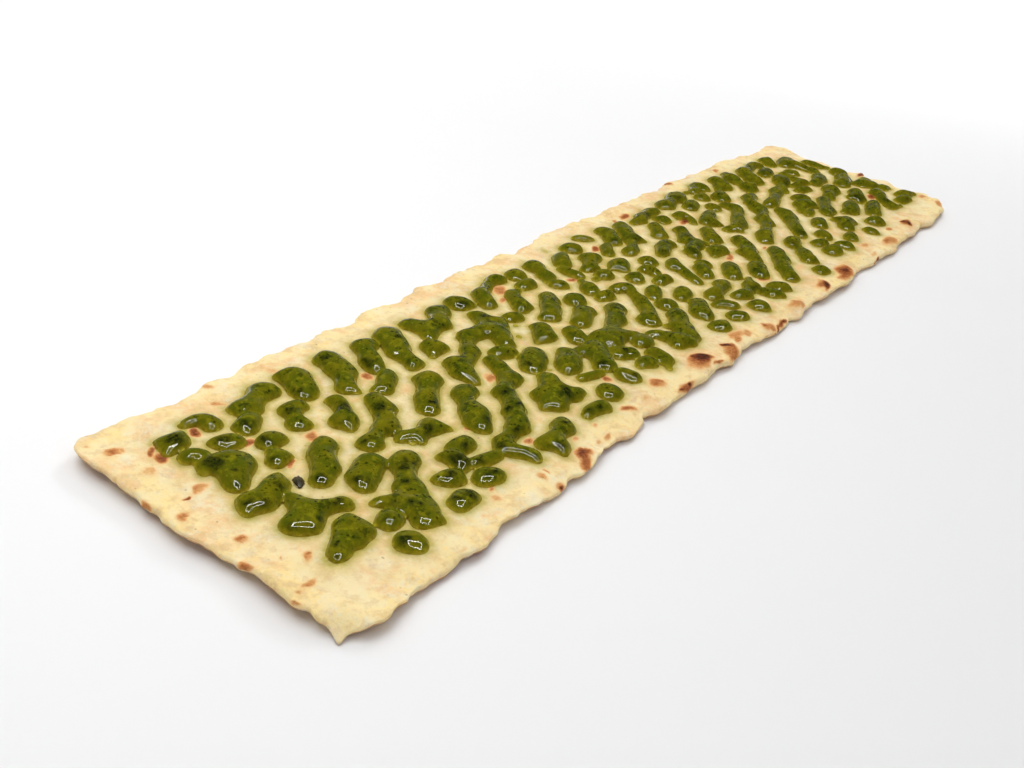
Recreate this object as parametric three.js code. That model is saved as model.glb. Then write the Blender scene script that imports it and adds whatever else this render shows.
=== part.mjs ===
// Pesto flatbread: a long thin strip of baked flatbread with pesto piped on top in short slanting
// beads and drops. Millimetres, +Z up. The strip's length runs along X and its width along Y; it
// lies on z = 0. The origin is under the middle of the strip's footprint.
import * as THREE from "three";

// ---------- driving dimensions, mm ----------
const STRIP_LEFT = -222.3; // mean place of the short edge at -X
const STRIP_RIGHT = 227.5; // mean place of the short edge at +X
const STRIP_FRONT = -53.1; // mean place of the long edge at -Y
const STRIP_BACK = 54.2; // mean place of the long edge at +Y
const PLATEAU_Z = 4.0; // top of the crumb under the pesto
const EDGE_STEP = 8.0; // spacing of the points along the edge
const CORNER_RADII = { frontLeft: 4, frontRight: 13, backRight: 10, backLeft: 6 };
const CORNER_POINTS = 4;
const NIB = { x: -224.5, y: -53.5, out: 3.0, wide: 5 }; // pulled-out tip of dough at one corner
const END_LIFT = { rise: 2.3, run: 12 }; // the -X end curls off the table
const EDGE_THICK = 3.1; // thickness of the crust close to the edge
const PESTO_GAP = 0.3; // free space between crumb and pesto
const BEAD_RISE = 0.52; // height of a bead for each mm of its half width
const BEAD_TALLEST = 2.45;
const TOUCH = 1.7; // beads closer than this have run together
const NECK_FROM = -1.2; // and closer than this, deep enough into each other to need no neck
const NECK_HALF_WIDTH = 1.7;
const BLEND = 0.7; // how softly beads that touch flow together
const WALK = 0.5; // step of the walk round a puddle
const CHORD_ERROR = 0.45;
const CHORD_LONGEST = 10;
const CROWN_INSET = 0.64; // where the crown starts, as a share of the way from edge to ridge
const SMALLEST_WINDOW = 5; // mm2; smaller windows in a puddle close up

// How the four edges wander: [cosine, sine] amounts in mm of each whole wave along the edge.
const WANDER = {
  back: [[1.6, 0.9], [-0.6, -0.3], [0.2, 0.1], [-0.1, 0], [-0.1, 0.3], [0.2, 0.2], [-0.3, 0],
    [0.2, 0.3], [-0.1, 0.1], [-0.1, 0], [0, 0], [0, 0.1]],
  front: [[0.7, 0], [0.2, -0.7], [-0.3, 0.1], [0.1, -0.1], [0, 0], [0.3, -0.2], [-0.2, 0],
    [0.4, -0.2], [0.2, 0], [0, -0.1], [0, 0.3], [0.1, -0.3]],
  left: [[-1.1, -0.5], [0, -0.2], [-0.4, -0.1]],
  right: [[0.1, -1.8], [0.2, -0.1], [0.6, 0.2]],
};

// Piped beads: where the nozzle starts and stops, and the bead's half width. A bead whose start
// and stop nearly meet is a round drop. [x start, y start, x stop, y stop, half width]
const BEADS = [
  [-204.9, 0.4, -207.8, -3, 3.1], [-199.9, -29.4, -204.5, -31.7, 3.3],
  [-194.2, -0.3, -203.3, -3.5, 4.3], [-203.3, 24, -202.5, 19.5, 4.4],
  [-201.2, 33.5, -205.3, 32.7, 4.1], [-196.8, -12.9, -202.3, -16.4, 5.3],
  [-196.1, -14.9, -187.5, -17.4, 2.9], [-195.6, 15.7, -202.4, 8, 4.2],
  [-205.7, 17.9, -194.7, 12.1, 2.8], [-193.4, -26.9, -195.2, -28.8, 5.4],
  [-192.6, 23.7, -190.3, 23.2, 3.9], [-191.7, 36.9, -189.4, 34.2, 4.2],
  [-185.5, 8.8, -187.5, 7.9, 3.4], [-187.1, -41.2, -187.3, -41.2, 4.9],
  [-172.1, 5.1, -183.8, -6.2, 4.1], [-180.9, 16.3, -183.2, 15.7, 3.9],
  [-179.1, -25.8, -184.2, -31.3, 3.7], [-168.6, -10.1, -176.8, -14.5, 4.7],
  [-164.7, 37.2, -176.6, 33.7, 4.5], [-176.1, 31.5, -181.9, 26.1, 3.8],
  [-159.7, -15.1, -175.4, -30.5, 3.8], [-170.7, -26.6, -175.7, -37.3, 4.5],
  [-167.2, 24, -170, 17, 3.5], [-160.5, -38.9, -164.4, -39.1, 3.8],
  [-165.6, 24.9, -163.2, 24.4, 3.2], [-159.9, -2.4, -162, -3.8, 4],
  [-160.4, 10.6, -159.2, 7.2, 3.2], [-152.5, 19.3, -157.2, 9.8, 3],
  [-158.7, -29.2, -156.6, -30.6, 3.8], [-155.5, 39.7, -150.1, 36.3, 2.8],
  [-141.7, 12.3, -151.7, -1.6, 3.9], [-151.6, 38.1, -156.3, 28.5, 4.5],
  [-149.5, -23, -149.8, -27.6, 3.1], [-149.9, -37, -146.6, -37.2, 3.8],
  [-140.3, 27.7, -144.9, 22, 3.7], [-140.3, -21.5, -144.3, -21.9, 3.7],
  [-149.4, -9.3, -140.5, -9.7, 3.9], [-146, -30.7, -139.7, -31.6, 2.8],
  [-136.4, 38.6, -138.8, 30.6, 5.1], [-129.2, 19.2, -136, 14.5, 3.5],
  [-133.6, -31.7, -130, -38.9, 3.5], [-120.4, -5, -129.9, -19.4, 3.2],
  [-124.5, -12.8, -129.4, -17.7, 4.6], [-121.3, 37.8, -128.9, 25, 3.6],
  [-108.9, -35.8, -120.8, -39.7, 4.2], [-120.2, 9.9, -134.6, -2.2, 4],
  [-119.9, -27.5, -131.7, -28.7, 2.7], [-122.3, 37.7, -118, 36.9, 3],
  [-116.3, -3.4, -118.6, -3.4, 4], [-107.5, 38.1, -115.4, 26.3, 4.4],
  [-111.5, 37.3, -117.3, 18.2, 3.5], [-105.8, 9.1, -108.8, 4.2, 4.8],
  [-108.5, -14.2, -120.9, -27.2, 3.6], [-103, 21.9, -104.3, 21.7, 4.6],
  [-89.9, -17.2, -101.5, -27.3, 4.4], [-94.6, 2.9, -100.3, -8.2, 3.7],
  [-99.3, -21.5, -90.5, -27.5, 4.2], [-97.4, -8.4, -109.5, -11.4, 2.9],
  [-97.3, 36.8, -95.8, 33.5, 4.6], [-89.6, 18, -98.6, 9.6, 3.1],
  [-96.9, -37.4, -89.1, -37.9, 2.9], [-79.5, -3.4, -87.3, -8.3, 4.6],
  [-88.3, 5.2, -85.7, 3.1, 3.8], [-83, 38.2, -88.8, 30.2, 3.7],
  [-79.5, -34.5, -80.8, -35.3, 4.6], [-79.7, -24.1, -72.8, -25.4, 2.3],
  [-79.6, 37.5, -98.9, 27.6, 3.1], [-87.7, 19.5, -74.3, 15.7, 4], [-73.4, 25.9, -81.2, 7.8, 4],
  [-71.2, 37.9, -71.1, 36.2, 4.7], [-69.4, -11.2, -76.9, -15.9, 4.7],
  [-62.6, 5.7, -66.5, 1.8, 4.5], [-65.9, -31.6, -65.2, -34.2, 3.9],
  [-66.5, 18.1, -62, 17.4, 3.2], [-60.2, -13.9, -65.6, -23.4, 4.2],
  [-58, 36.9, -63.3, 29.6, 3.8], [-55.3, -2.9, -57.4, -6, 4.2], [-49.2, 28.9, -55, 19.7, 3.6],
  [-54, -22.8, -52, -23.8, 4.4], [-53.9, -32.4, -52.2, -33.4, 3.4],
  [-38.9, 19.4, -52.3, 8.5, 3.8], [-47.1, -13.5, -49.1, -13.5, 5.7],
  [-24.3, -3.2, -49.1, -14, 2.7], [-43.8, -31.8, -45.9, -35.3, 4.4],
  [-42.7, 40.7, -51.3, 39.2, 3.1], [-36.2, 30.9, -40.6, 30.3, 3.4],
  [-39.4, -18.7, -41.1, -24.5, 3.6], [-37, 3.7, -47, -0.9, 4], [-33.1, 39, -33.8, 38.8, 4],
  [-32, 11.6, -33.6, 10.5, 4.3], [-36.9, -23, -29.5, -23.5, 2.8],
  [-27.4, -31.5, -28.7, -32.7, 5.6], [-28.3, 24.1, -26.4, 21.9, 3.5],
  [-26, -2.4, -34.7, -9.3, 3.6], [-16.9, -12.3, -25.7, -15.7, 3.2],
  [-10.5, -3.9, -23.3, -19, 3], [-22.8, 37.1, -24.9, 29.7, 3.5], [-22.5, 5.6, -17.6, 5.4, 3.1],
  [-19.9, 39.4, -22.1, 39, 3.9], [-18.9, 14.8, -21.1, 11.2, 3.6],
  [-13.4, 29.6, -14.9, 21.2, 3], [-8.5, -18.7, -22.1, -33.2, 4.1], [-9.4, 5.2, -7.5, 4, 4.3],
  [-4.9, 36.6, -9.4, 33.3, 3.9], [-5.4, -11.4, -4.6, -13.5, 3.8],
  [-4.1, -36.6, -5.2, -36.8, 4.3], [-7.2, 16.2, -3.3, 15.7, 3.5],
  [5.3, -21.7, -1.5, -27.2, 4.3], [0.8, -4.1, -1, -5.6, 3.5], [4.8, 7.2, 3.3, 6.1, 3.8],
  [7, 39.4, 3.6, 39.1, 4.3], [10.7, -12.3, 5.5, -14.5, 3.6], [5.6, 29.5, -3.7, 23.2, 3.9],
  [8.8, -36.7, 10.2, -37.6, 4.2], [14.7, -1.5, 9.7, -1.7, 3.2], [11.4, 18.4, 7.5, 16.5, 4.1],
  [12, -27, 16.4, -31.1, 3], [16.1, 7.9, 15.4, 4.6, 3.5], [30.5, -19.4, 15.9, -22.5, 3.4],
  [20, 30.9, 15.2, 27.2, 2.9], [17, 43.5, 20.2, 41.2, 2.7], [23.2, 11.7, 22.2, 11.6, 4],
  [24.9, -38.6, 25.3, -39.2, 4.4], [31, 4.9, 23.2, -11, 3], [41.5, -3.6, 33, -10.1, 3.6],
  [34.2, 40.4, 27.5, 32.5, 3.9], [37.9, 27.4, 22.9, 20.9, 2.6], [25.8, -29.3, 37.9, -30.6, 3],
  [38.5, -27.7, 40.8, -27.8, 3.3], [40.1, -36.3, 41.2, -39, 3.8],
  [50.6, -12.8, 41.6, -18.3, 3.7], [45.4, 39.4, 38.1, 27.6, 3.8],
  [46.7, 16.4, 35.8, 12.5, 3.5], [47.1, -35.6, 50.7, -37, 3.9], [59.4, 29.9, 51.3, 22.3, 3.2],
  [58.9, -21.4, 53.5, -25.6, 4.4], [75.1, 40.1, 55.1, 38, 2.9], [56.1, 7.7, 46.6, 3.3, 3.7],
  [66.5, 20.5, 57.6, 12.5, 3.6], [62, -1.6, 58.2, -1.9, 4.3], [76.2, 12.3, 68.5, 4.9, 3.8],
  [70.3, 31.3, 67.5, 30.6, 3], [81.1, 29.4, 79.2, 22.6, 3.4], [79.9, -2.2, 65.1, -17.1, 3.9],
  [80.2, -40.8, 82.7, -41.2, 3.6], [83.7, -18.3, 62.1, -35.5, 3.8],
  [102.4, 42.2, 83.8, 39.8, 3.9], [93.6, 20.5, 84.5, 16, 4.1], [110.5, -1, 89.7, -9.9, 3.3],
  [117.5, 22.8, 97.1, 3.2, 1.6], [99.1, 33.6, 94.2, 30.7, 3.7], [101, -18.3, 87.5, -33.3, 3.8],
  [105.3, 25.2, 103.6, 22.9, 3.3], [105.9, -35.6, 108.1, -35.6, 4.3],
  [107.8, -27, 112.8, -28.4, 2.6], [110.7, 34.9, 112.1, 33.9, 3.4],
  [122.6, 44.3, 112.6, 41.4, 2], [114.8, 16.5, 89.9, 4.6, 2.9], [115.4, 2.8, 112.2, 1.9, 3.5],
  [119.4, -36.6, 119.4, -37.8, 3.8], [123.8, -23.9, 119.6, -26.1, 3.7],
  [123.4, 29.7, 118.6, 28, 4.2], [126.3, 43.4, 124, 38.7, 2.3],
  [132.7, -34.8, 131, -35.4, 4.3], [131.5, -1, 110.8, -18.3, 3.3],
  [131.6, 19.5, 121.1, 7.8, 3.8], [132.1, 1.2, 126.9, -5, 3.8], [163, 31.1, 133.3, 19.1, 2],
  [146.3, 11.4, 134.7, 8.4, 3.4], [136.2, -16.2, 131.4, -19.1, 4],
  [140.2, 40.9, 133.4, 34.6, 4.6], [150.7, -25, 140.9, -28.8, 3.8],
  [149, -1.5, 142, -7.2, 4.2], [144.9, 26.6, 145.3, 25.2, 4], [148.5, -37.6, 148, -39.3, 3.4],
  [166.1, -5.5, 151.2, -14.3, 3.7], [152.4, 41.3, 147.9, 33.8, 4],
  [155.3, 3.1, 159.6, 2.6, 3.5], [166.2, 40.6, 159, 25.9, 2.5], [177.5, 42, 159.7, 37.1, 1.6],
  [159.9, 14.6, 152.2, 14.5, 3.6], [162.3, -34.9, 163.4, -35.2, 4.5],
  [170.2, 19.5, 168, 18, 4.3], [171.2, 9.5, 170.6, 8.3, 4.4], [175.9, 31.9, 172.3, 30.1, 3],
  [173, -17.7, 164.3, -20.9, 4.2], [179.3, 13.1, 180.2, 11.9, 3.5], [181, 40.1, 181, 38.5, 4],
  [193.5, -12.1, 183.6, -16.4, 4.2], [183.9, -24.8, 173.9, -29.1, 3.5],
  [186.1, -1.9, 172.5, -5.6, 3.6], [188.5, 22.1, 183, 21.3, 3.9],
  [195.2, 41.2, 190.6, 35.9, 3.8], [191, -32.4, 192.5, -34.1, 3],
  [185.2, 7.8, 193.2, 7.5, 2.4], [198, 10.2, 195, 9.2, 4.1], [202.7, -19.9, 195.3, -26.4, 4],
  [204.3, 33.6, 201.4, 15.3, 2.5], [206.2, -33.3, 207.6, -33.6, 4.3],
  [207, 33.1, 202.3, 29.7, 3.4], [209.7, 1.5, 198.6, -2.2, 3.8],
  [212.8, -14.6, 216.2, -19.8, 3.2], [215.7, 23.6, 213.4, 19.1, 3],
  [215.8, 6.7, 216.4, 6.7, 4.2], [217, -8.6, 211, -11.2, 4.2],
  [213.9, -29.7, 217.8, -30.1, 3.5],
];

// ---------- small helpers ----------
const clamp = (v, a, b) => Math.min(b, Math.max(a, v));
const smooth = (t) => { t = clamp(t, 0, 1); return t * t * (3 - 2 * t); };
const wave = (list, u) =>
  list.reduce((sum, [c, s], k) => sum + c * Math.cos((k + 1) * Math.PI * u) + s * Math.sin((k + 1) * Math.PI * u), 0);

function geometryOf(points, faces) {
  const g = new THREE.BufferGeometry();
  g.setAttribute("position", new THREE.Float32BufferAttribute(points.flat(), 3));
  g.setIndex(faces.flat());
  return g;
}

// Triangles that fill a closed outline, and spare its windows, facing up or down.
function capFaces(points, [outline, ...windows], up) {
  const flat = (ring) => ring.map((i) => new THREE.Vector2(points[i][0], points[i][1]));
  const all = [outline, ...windows].flat(), at = flat(all);
  return THREE.ShapeUtils.triangulateShape(flat(outline), windows.map(flat)).map(([a, b, c]) => {
    const turn = (at[b].x - at[a].x) * (at[c].y - at[a].y) - (at[b].y - at[a].y) * (at[c].x - at[a].x);
    return (turn > 0) === up ? [all[a], all[b], all[c]] : [all[a], all[c], all[b]];
  });
}

// Bands of triangles between two rings of equal count, the first one lower or further out.
function bandFaces(lower, upper) {
  const n = lower.length;
  const faces = [];
  for (let i = 0; i < n; i++) {
    const j = (i + 1) % n;
    faces.push([lower[i], lower[j], upper[j]], [lower[i], upper[j], upper[i]]);
  }
  return faces;
}

// ---------- the strip of bread ----------
// Stations round the edge, counter-clockwise from above. inset moves a station inwards.
function edgeStations() {
  const corners = [
    { sx: -1, sy: -1, r: CORNER_RADII.frontLeft, from: Math.PI },
    { sx: 1, sy: -1, r: CORNER_RADII.frontRight, from: 1.5 * Math.PI },
    { sx: 1, sy: 1, r: CORNER_RADII.backRight, from: 0 },
    { sx: -1, sy: 1, r: CORNER_RADII.backLeft, from: 0.5 * Math.PI },
  ];
  const place = (c, angle, inset) => {
    const cx = c.sx < 0 ? STRIP_LEFT + inset + c.r : STRIP_RIGHT - inset - c.r;
    const cy = c.sy < 0 ? STRIP_FRONT + inset + c.r : STRIP_BACK - inset - c.r;
    return [cx + c.r * Math.cos(angle), cy + c.r * Math.sin(angle)];
  };
  const stations = [];
  corners.forEach((c, k) => {
    for (let i = 0; i < CORNER_POINTS; i++) {
      const angle = c.from + (0.5 * Math.PI * i) / (CORNER_POINTS - 1);
      stations.push({ at: (inset) => place(c, angle, inset), n: [Math.cos(angle), Math.sin(angle)] });
    }
    const next = corners[(k + 1) % 4];
    const end = c.from + 0.5 * Math.PI;
    const [x0, y0] = place(c, end, 0);
    const [x1, y1] = place(next, end, 0);
    const steps = Math.round(Math.hypot(x1 - x0, y1 - y0) / EDGE_STEP);
    for (let i = 1; i < steps; i++) {
      const t = i / steps;
      stations.push({
        at: (inset) => {
          const a = place(c, end, inset), b = place(next, end, inset);
          return [a[0] + t * (b[0] - a[0]), a[1] + t * (b[1] - a[1])];
        },
        n: [Math.cos(end), Math.sin(end)],
      });
    }
  });
  return stations;
}

// How far the edge stands out beyond its mean place at a station.
function edgeWander([x, y], [nx, ny]) {
  const u = x / 225, v = y / 52;
  const along = ny > 0 ? wave(WANDER.back, u) : -wave(WANDER.front, u);
  const across = nx > 0 ? wave(WANDER.right, v) : -wave(WANDER.left, v);
  const nib = NIB.out * Math.exp(-((x - NIB.x) ** 2 + (y - NIB.y) ** 2) / NIB.wide ** 2);
  const nibbles = 0.45 * Math.sin(x * 0.61 + 1.3) * Math.sin(y * 0.53 + x * 0.11 + 0.4);
  return ny * ny * along + nx * nx * across + nib + nibbles;
}

// How far the underside of the edge is off the table.
function edgeLift([x, y]) {
  const end = END_LIFT.rise * smooth((STRIP_LEFT + END_LIFT.run - x) / END_LIFT.run) * (0.8 + 0.2 * Math.sin(y * 0.09 + 1));
  const front = y < 0 ? 0.5 + 0.35 * Math.sin(x * 0.071 + 0.5) * Math.sin(x * 0.023) : 0.35 + 0.2 * Math.sin(x * 0.05);
  return end + front;
}

// Thickness of the crust at the edge, with the swell of its blisters.
const edgeThick = ([x, y]) => EDGE_THICK + 0.45 * Math.sin(x * 0.13 + y * 0.2) + 0.25 * Math.sin(x * 0.31 + 2);

function breadGeometry() {
  const stations = edgeStations();
  const points = [];
  // Section through the edge: each ring's inset on the long sides and at the -X end, how much of the
  // wander it follows, and its height.
  const rings = [
    { inset: 9, end: 16, follow: 0, z: () => 0 },
    { inset: 1.5, end: 1.5, follow: 0.9, z: (lift) => lift },
    { inset: 0, end: 0, follow: 1, z: (lift, thick) => lift + 0.42 * thick },
    { inset: 0.9, end: 0.9, follow: 0.95, z: (lift, thick) => lift + 0.86 * thick },
    { inset: 3.2, end: 5, follow: 0.7, z: (lift, thick) => 0.6 * lift + thick + 0.25 },
    { inset: 6.8, end: 11.5, follow: 0.2, z: () => PLATEAU_Z },
  ].map((ring) =>
    stations.map((station) => {
      const outer = station.at(0);
      const leftness = smooth((STRIP_LEFT + 24 - outer[0]) / 24);
      const inset = ring.inset + (ring.end - ring.inset) * leftness;
      const p = station.at(inset);
      const out = ring.follow * edgeWander(outer, station.n);
      const z = ring.z(edgeLift(outer), edgeThick(outer));
      points.push([p[0] + out * station.n[0], p[1] + out * station.n[1], z]);
      return points.length - 1;
    }),
  );
  const faces = capFaces(points, [rings[0]], false);
  for (let k = 0; k + 1 < rings.length; k++) faces.push(...bandFaces(rings[k], rings[k + 1]));
  faces.push(...capFaces(points, [rings[rings.length - 1]], true));
  return geometryOf(points, faces);
}

// ---------- the pesto ----------
// Nearest points of two nozzle paths, and their distance.
function nearest(a, b) {
  const d1 = [a[2] - a[0], a[3] - a[1]], d2 = [b[2] - b[0], b[3] - b[1]], r = [a[0] - b[0], a[1] - b[1]];
  const dot = (p, q) => p[0] * q[0] + p[1] * q[1];
  const A = dot(d1, d1) + 1e-9, E = dot(d2, d2) + 1e-9, F = dot(d2, r), B = dot(d1, d2), C = dot(d1, r);
  let s = clamp((B * F - C * E) / Math.max(A * E - B * B, 1e-9), 0, 1);
  let t = (B * s + F) / E;
  if (t < 0) { t = 0; s = clamp(-C / A, 0, 1); }
  if (t > 1) { t = 1; s = clamp((B - C) / A, 0, 1); }
  const p = [a[0] + s * d1[0], a[1] + s * d1[1]], q = [b[0] + t * d2[0], b[1] + t * d2[1]];
  return { p, q, far: Math.hypot(p[0] - q[0], p[1] - q[1]) };
}

// Beads that touch run together into one puddle. The closest pairs join first; where two beads only
// just meet, a narrow neck of pesto is added between them.
function puddles(beads) {
  const group = beads.map((_, i) => i);
  const root = (i) => (group[i] === i ? i : (group[i] = root(group[i])));
  const meetings = [];
  beads.forEach((a, i) => {
    for (let j = i + 1; j < beads.length; j++) {
      const near = nearest(a, beads[j]);
      const gap = near.far - a[4] - beads[j][4];
      if (gap < TOUCH) meetings.push({ i, j, gap, near });
    }
  });
  meetings.sort((a, b) => a.gap - b.gap);
  const necks = [];
  for (const { i, j, gap, near } of meetings) {
    if (root(i) === root(j)) continue;
    if (gap > NECK_FROM) necks.push({ owner: i, bead: [...near.p, ...near.q, NECK_HALF_WIDTH] });
    group[root(i)] = root(j);
  }
  const found = new Map();
  beads.forEach((bead, i) => {
    const k = root(i);
    if (!found.has(k)) found.set(k, []);
    found.get(k).push(bead);
  });
  necks.forEach(({ owner, bead }) => found.get(root(owner)).push(bead));
  return [...found.values()];
}

// How deep a place lies inside a puddle, in mm, and the way inwards. The beads blend smoothly.
function depth(beads, x, y) {
  let sum = 0, gx = 0, gy = 0;
  for (const [x0, y0, x1, y1, half] of beads) {
    const ux = x1 - x0, uy = y1 - y0;
    const t = clamp(((x - x0) * ux + (y - y0) * uy) / (ux * ux + uy * uy + 1e-9), 0, 1);
    const dx = x - x0 - t * ux, dy = y - y0 - t * uy, d = Math.hypot(dx, dy) + 1e-9;
    const w = Math.exp(clamp((half - d) / BLEND, -60, 20));
    sum += w; gx -= (w * dx) / d; gy -= (w * dy) / d;
  }
  return { f: BLEND * Math.log(sum + 1e-30), gx: gx / (sum + 1e-30), gy: gy / (sum + 1e-30) };
}

// Slide a point onto the puddle's edge.
function toEdge(beads, p) {
  let [x, y] = p;
  for (let k = 0; k < 12; k++) {
    const { f, gx, gy } = depth(beads, x, y);
    if (Math.abs(f) < 1e-4) break;
    const g2 = Math.max(gx * gx + gy * gy, 0.04);
    const step = clamp(f / g2, -1, 1);
    x -= step * gx; y -= step * gy;
  }
  return [x, y];
}

// Walk once round an edge with the pesto on the left.
function walkEdge(beads, start) {
  const points = [start];
  let [x, y] = start;
  for (let k = 0; k < 20000; k++) {
    const a = depth(beads, x, y), la = Math.hypot(a.gx, a.gy) + 1e-9;
    const mx = x + (0.5 * WALK * a.gy) / la, my = y - (0.5 * WALK * a.gx) / la;
    const m = depth(beads, mx, my), lm = Math.hypot(m.gx, m.gy) + 1e-9;
    [x, y] = toEdge(beads, [x + (WALK * m.gy) / lm, y - (WALK * m.gx) / lm]);
    if (k > 5 && Math.hypot(x - start[0], y - start[1]) < 0.8 * WALK) return points;
    points.push([x, y]);
  }
  throw new Error("a puddle's edge doesn't close");
}

const area = (ring) => ring.reduce((s, [x, y], i) => {
  const [u, v] = ring[(i + 1) % ring.length];
  return s + (x * v - u * y) / 2;
}, 0);

// Fewest points whose chords stay close to the walked edge.
function thin(ring) {
  const kept = [];
  for (let i = 0; i < ring.length; ) {
    kept.push(ring[i]);
    let j = i + 1;
    for (; j < ring.length; j++) {
      const [ax, ay] = ring[i], [bx, by] = ring[(j + 1) % ring.length];
      const len = Math.hypot(bx - ax, by - ay);
      if (len > CHORD_LONGEST) break;
      let off = 0;
      for (let k = i + 1; k <= j; k++)
        off = Math.max(off, Math.abs((ring[k][0] - ax) * (by - ay) - (ring[k][1] - ay) * (bx - ax)) / (len + 1e-9));
      if (off > CHORD_ERROR) break;
    }
    i = j;
  }
  return kept;
}

function edgesOf(beads) {
  const edges = [];
  for (const [x0, y0, x1, y1, half] of beads)
    for (const [cx, cy] of [[x0, y0], [x1, y1], [(x0 + x1) / 2, (y0 + y1) / 2]])
      for (let k = 0; k < 8; k++) {
        const seed = toEdge(beads, [cx + half * Math.cos(k * 0.785), cy + half * Math.sin(k * 0.785)]);
        if (Math.abs(depth(beads, ...seed).f) > 0.01) continue;
        if (edges.some((e) => e.some(([x, y]) => Math.hypot(x - seed[0], y - seed[1]) < 1.5 * WALK))) continue;
        edges.push(walkEdge(beads, seed));
      }
  return edges.filter((e) => area(e) > 0 || area(e) < -SMALLEST_WINDOW);
}

// The cushion's height at a distance in from its edge, where the nearest ridge is half away.
const cushion = (inwards, half) =>
  Math.min(BEAD_TALLEST, BEAD_RISE * half) * Math.pow(1 - (1 - clamp(inwards / half, 0, 1)) ** 2, 0.8);

// A puddle: flat beneath, with a steep foot, a shoulder and a gently domed top.
function puddleGeometry(beads, crown = CROWN_INSET) {
  const edges = edgesOf(beads).map(thin).sort((a, b) => area(b) - area(a));
  if (area(edges[0]) < 0 || (edges[1] && area(edges[1]) > 0)) throw new Error("a puddle isn't in one piece");
  const base = PLATEAU_Z + PESTO_GAP;
  const points = [], faces = [];
  const rings = edges.map((edge) => {
    const rows = [[], [], []];
    for (const [x, y] of edge) {
      const { gx, gy } = depth(beads, x, y), g = Math.hypot(gx, gy) + 1e-9;
      let half = 0.4, best = 0;
      for (let s = 0.4; s < 6.4; s += 0.2) {
        const f = depth(beads, x + (s * gx) / g, y + (s * gy) / g).f;
        if (f < best + 0.02) break;
        best = f; half = s;
      }
      [0, 0.4 * crown, crown].forEach((share, k) => {
        const inwards = share * half;
        points.push([x + (inwards * gx) / g, y + (inwards * gy) / g, base + cushion(inwards, half)]);
        rows[k].push(points.length - 1);
      });
    }
    faces.push(...bandFaces(rows[0], rows[1]), ...bandFaces(rows[1], rows[2]));
    return rows;
  });
  const [under, , over] = [0, 1, 2].map((k) => rings.map((rows) => rows[k]));
  const caps = [capFaces(points, under, false), capFaces(points, over, true)];
  // Where the crown of a crooked puddle would fold over itself, it is set further out.
  const whole = under.flat().length + 2 * under.length - 4;
  if (caps.some((cap) => cap.length !== whole)) {
    if (crown < 0.1) throw new Error("a puddle can't be closed");
    return puddleGeometry(beads, 0.8 * crown);
  }
  return geometryOf(points, [...faces, ...caps.flat()]);
}

// ---------- scene graph ----------
const crust = new THREE.MeshStandardMaterial({ color: 0xf1d9a5, roughness: 0.85, metalness: 0 });
const pesto = new THREE.MeshStandardMaterial({ color: 0x565a14, roughness: 0.2, metalness: 0 });

const flatbread = new THREE.Group();
flatbread.name = "pesto_flatbread";

function addMesh(name, geometry, material) {
  geometry.computeVertexNormals();
  const mesh = new THREE.Mesh(geometry, material);
  mesh.name = name;
  flatbread.add(mesh);
  return mesh;
}

const bread = addMesh("flatbread", breadGeometry(), crust);
puddles(BEADS)
  .map((beads) => ({ beads, x: Math.min(...beads.map((bead) => Math.min(bead[0], bead[2]))) }))
  .sort((a, b) => a.x - b.x)
  .forEach(({ beads }, i) => addMesh(`pesto_${String(i + 1).padStart(2, "0")}`, puddleGeometry(beads), pesto));

// The origin goes under the middle of the strip's footprint.
bread.geometry.computeBoundingBox();
const middle = bread.geometry.boundingBox.getCenter(new THREE.Vector3());
flatbread.position.set(-middle.x, -middle.y, 0);

export default flatbread;
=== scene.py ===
# Pesto flatbread: a long, thin, hand-stretched flatbread with pale crumb, toasted blisters on its rim, and piped
# strokes and drops of basil pesto. Lengths below are in millimetres in the row frame (x along the bread, y across it,
# z up, the table at z = 0) and turn into metres as each mesh is made.
import bpy, math
import numpy as np
from mathutils import Matrix, Vector
from mathutils.geometry import delaunay_2d_cdt


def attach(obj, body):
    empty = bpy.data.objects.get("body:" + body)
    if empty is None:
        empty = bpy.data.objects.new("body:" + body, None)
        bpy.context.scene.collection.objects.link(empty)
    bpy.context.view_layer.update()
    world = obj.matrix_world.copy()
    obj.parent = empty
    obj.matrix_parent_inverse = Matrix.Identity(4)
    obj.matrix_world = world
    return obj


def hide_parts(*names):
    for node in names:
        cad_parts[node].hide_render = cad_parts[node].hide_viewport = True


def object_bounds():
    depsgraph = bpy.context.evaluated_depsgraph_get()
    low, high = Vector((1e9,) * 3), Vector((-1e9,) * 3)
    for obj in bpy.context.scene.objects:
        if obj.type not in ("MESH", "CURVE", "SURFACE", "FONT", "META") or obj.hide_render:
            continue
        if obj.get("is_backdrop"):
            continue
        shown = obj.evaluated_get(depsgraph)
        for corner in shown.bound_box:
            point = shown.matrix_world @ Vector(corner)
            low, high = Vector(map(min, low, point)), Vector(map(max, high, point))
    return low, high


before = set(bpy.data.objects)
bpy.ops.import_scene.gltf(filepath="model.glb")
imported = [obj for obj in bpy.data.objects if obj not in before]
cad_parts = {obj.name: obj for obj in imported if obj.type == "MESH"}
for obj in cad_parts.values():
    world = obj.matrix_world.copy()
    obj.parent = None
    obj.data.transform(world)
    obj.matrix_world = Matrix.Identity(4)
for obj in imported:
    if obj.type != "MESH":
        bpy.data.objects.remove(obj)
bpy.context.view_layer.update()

MM = 0.001

# --------------------------------------------------------------------------- measured layout

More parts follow.
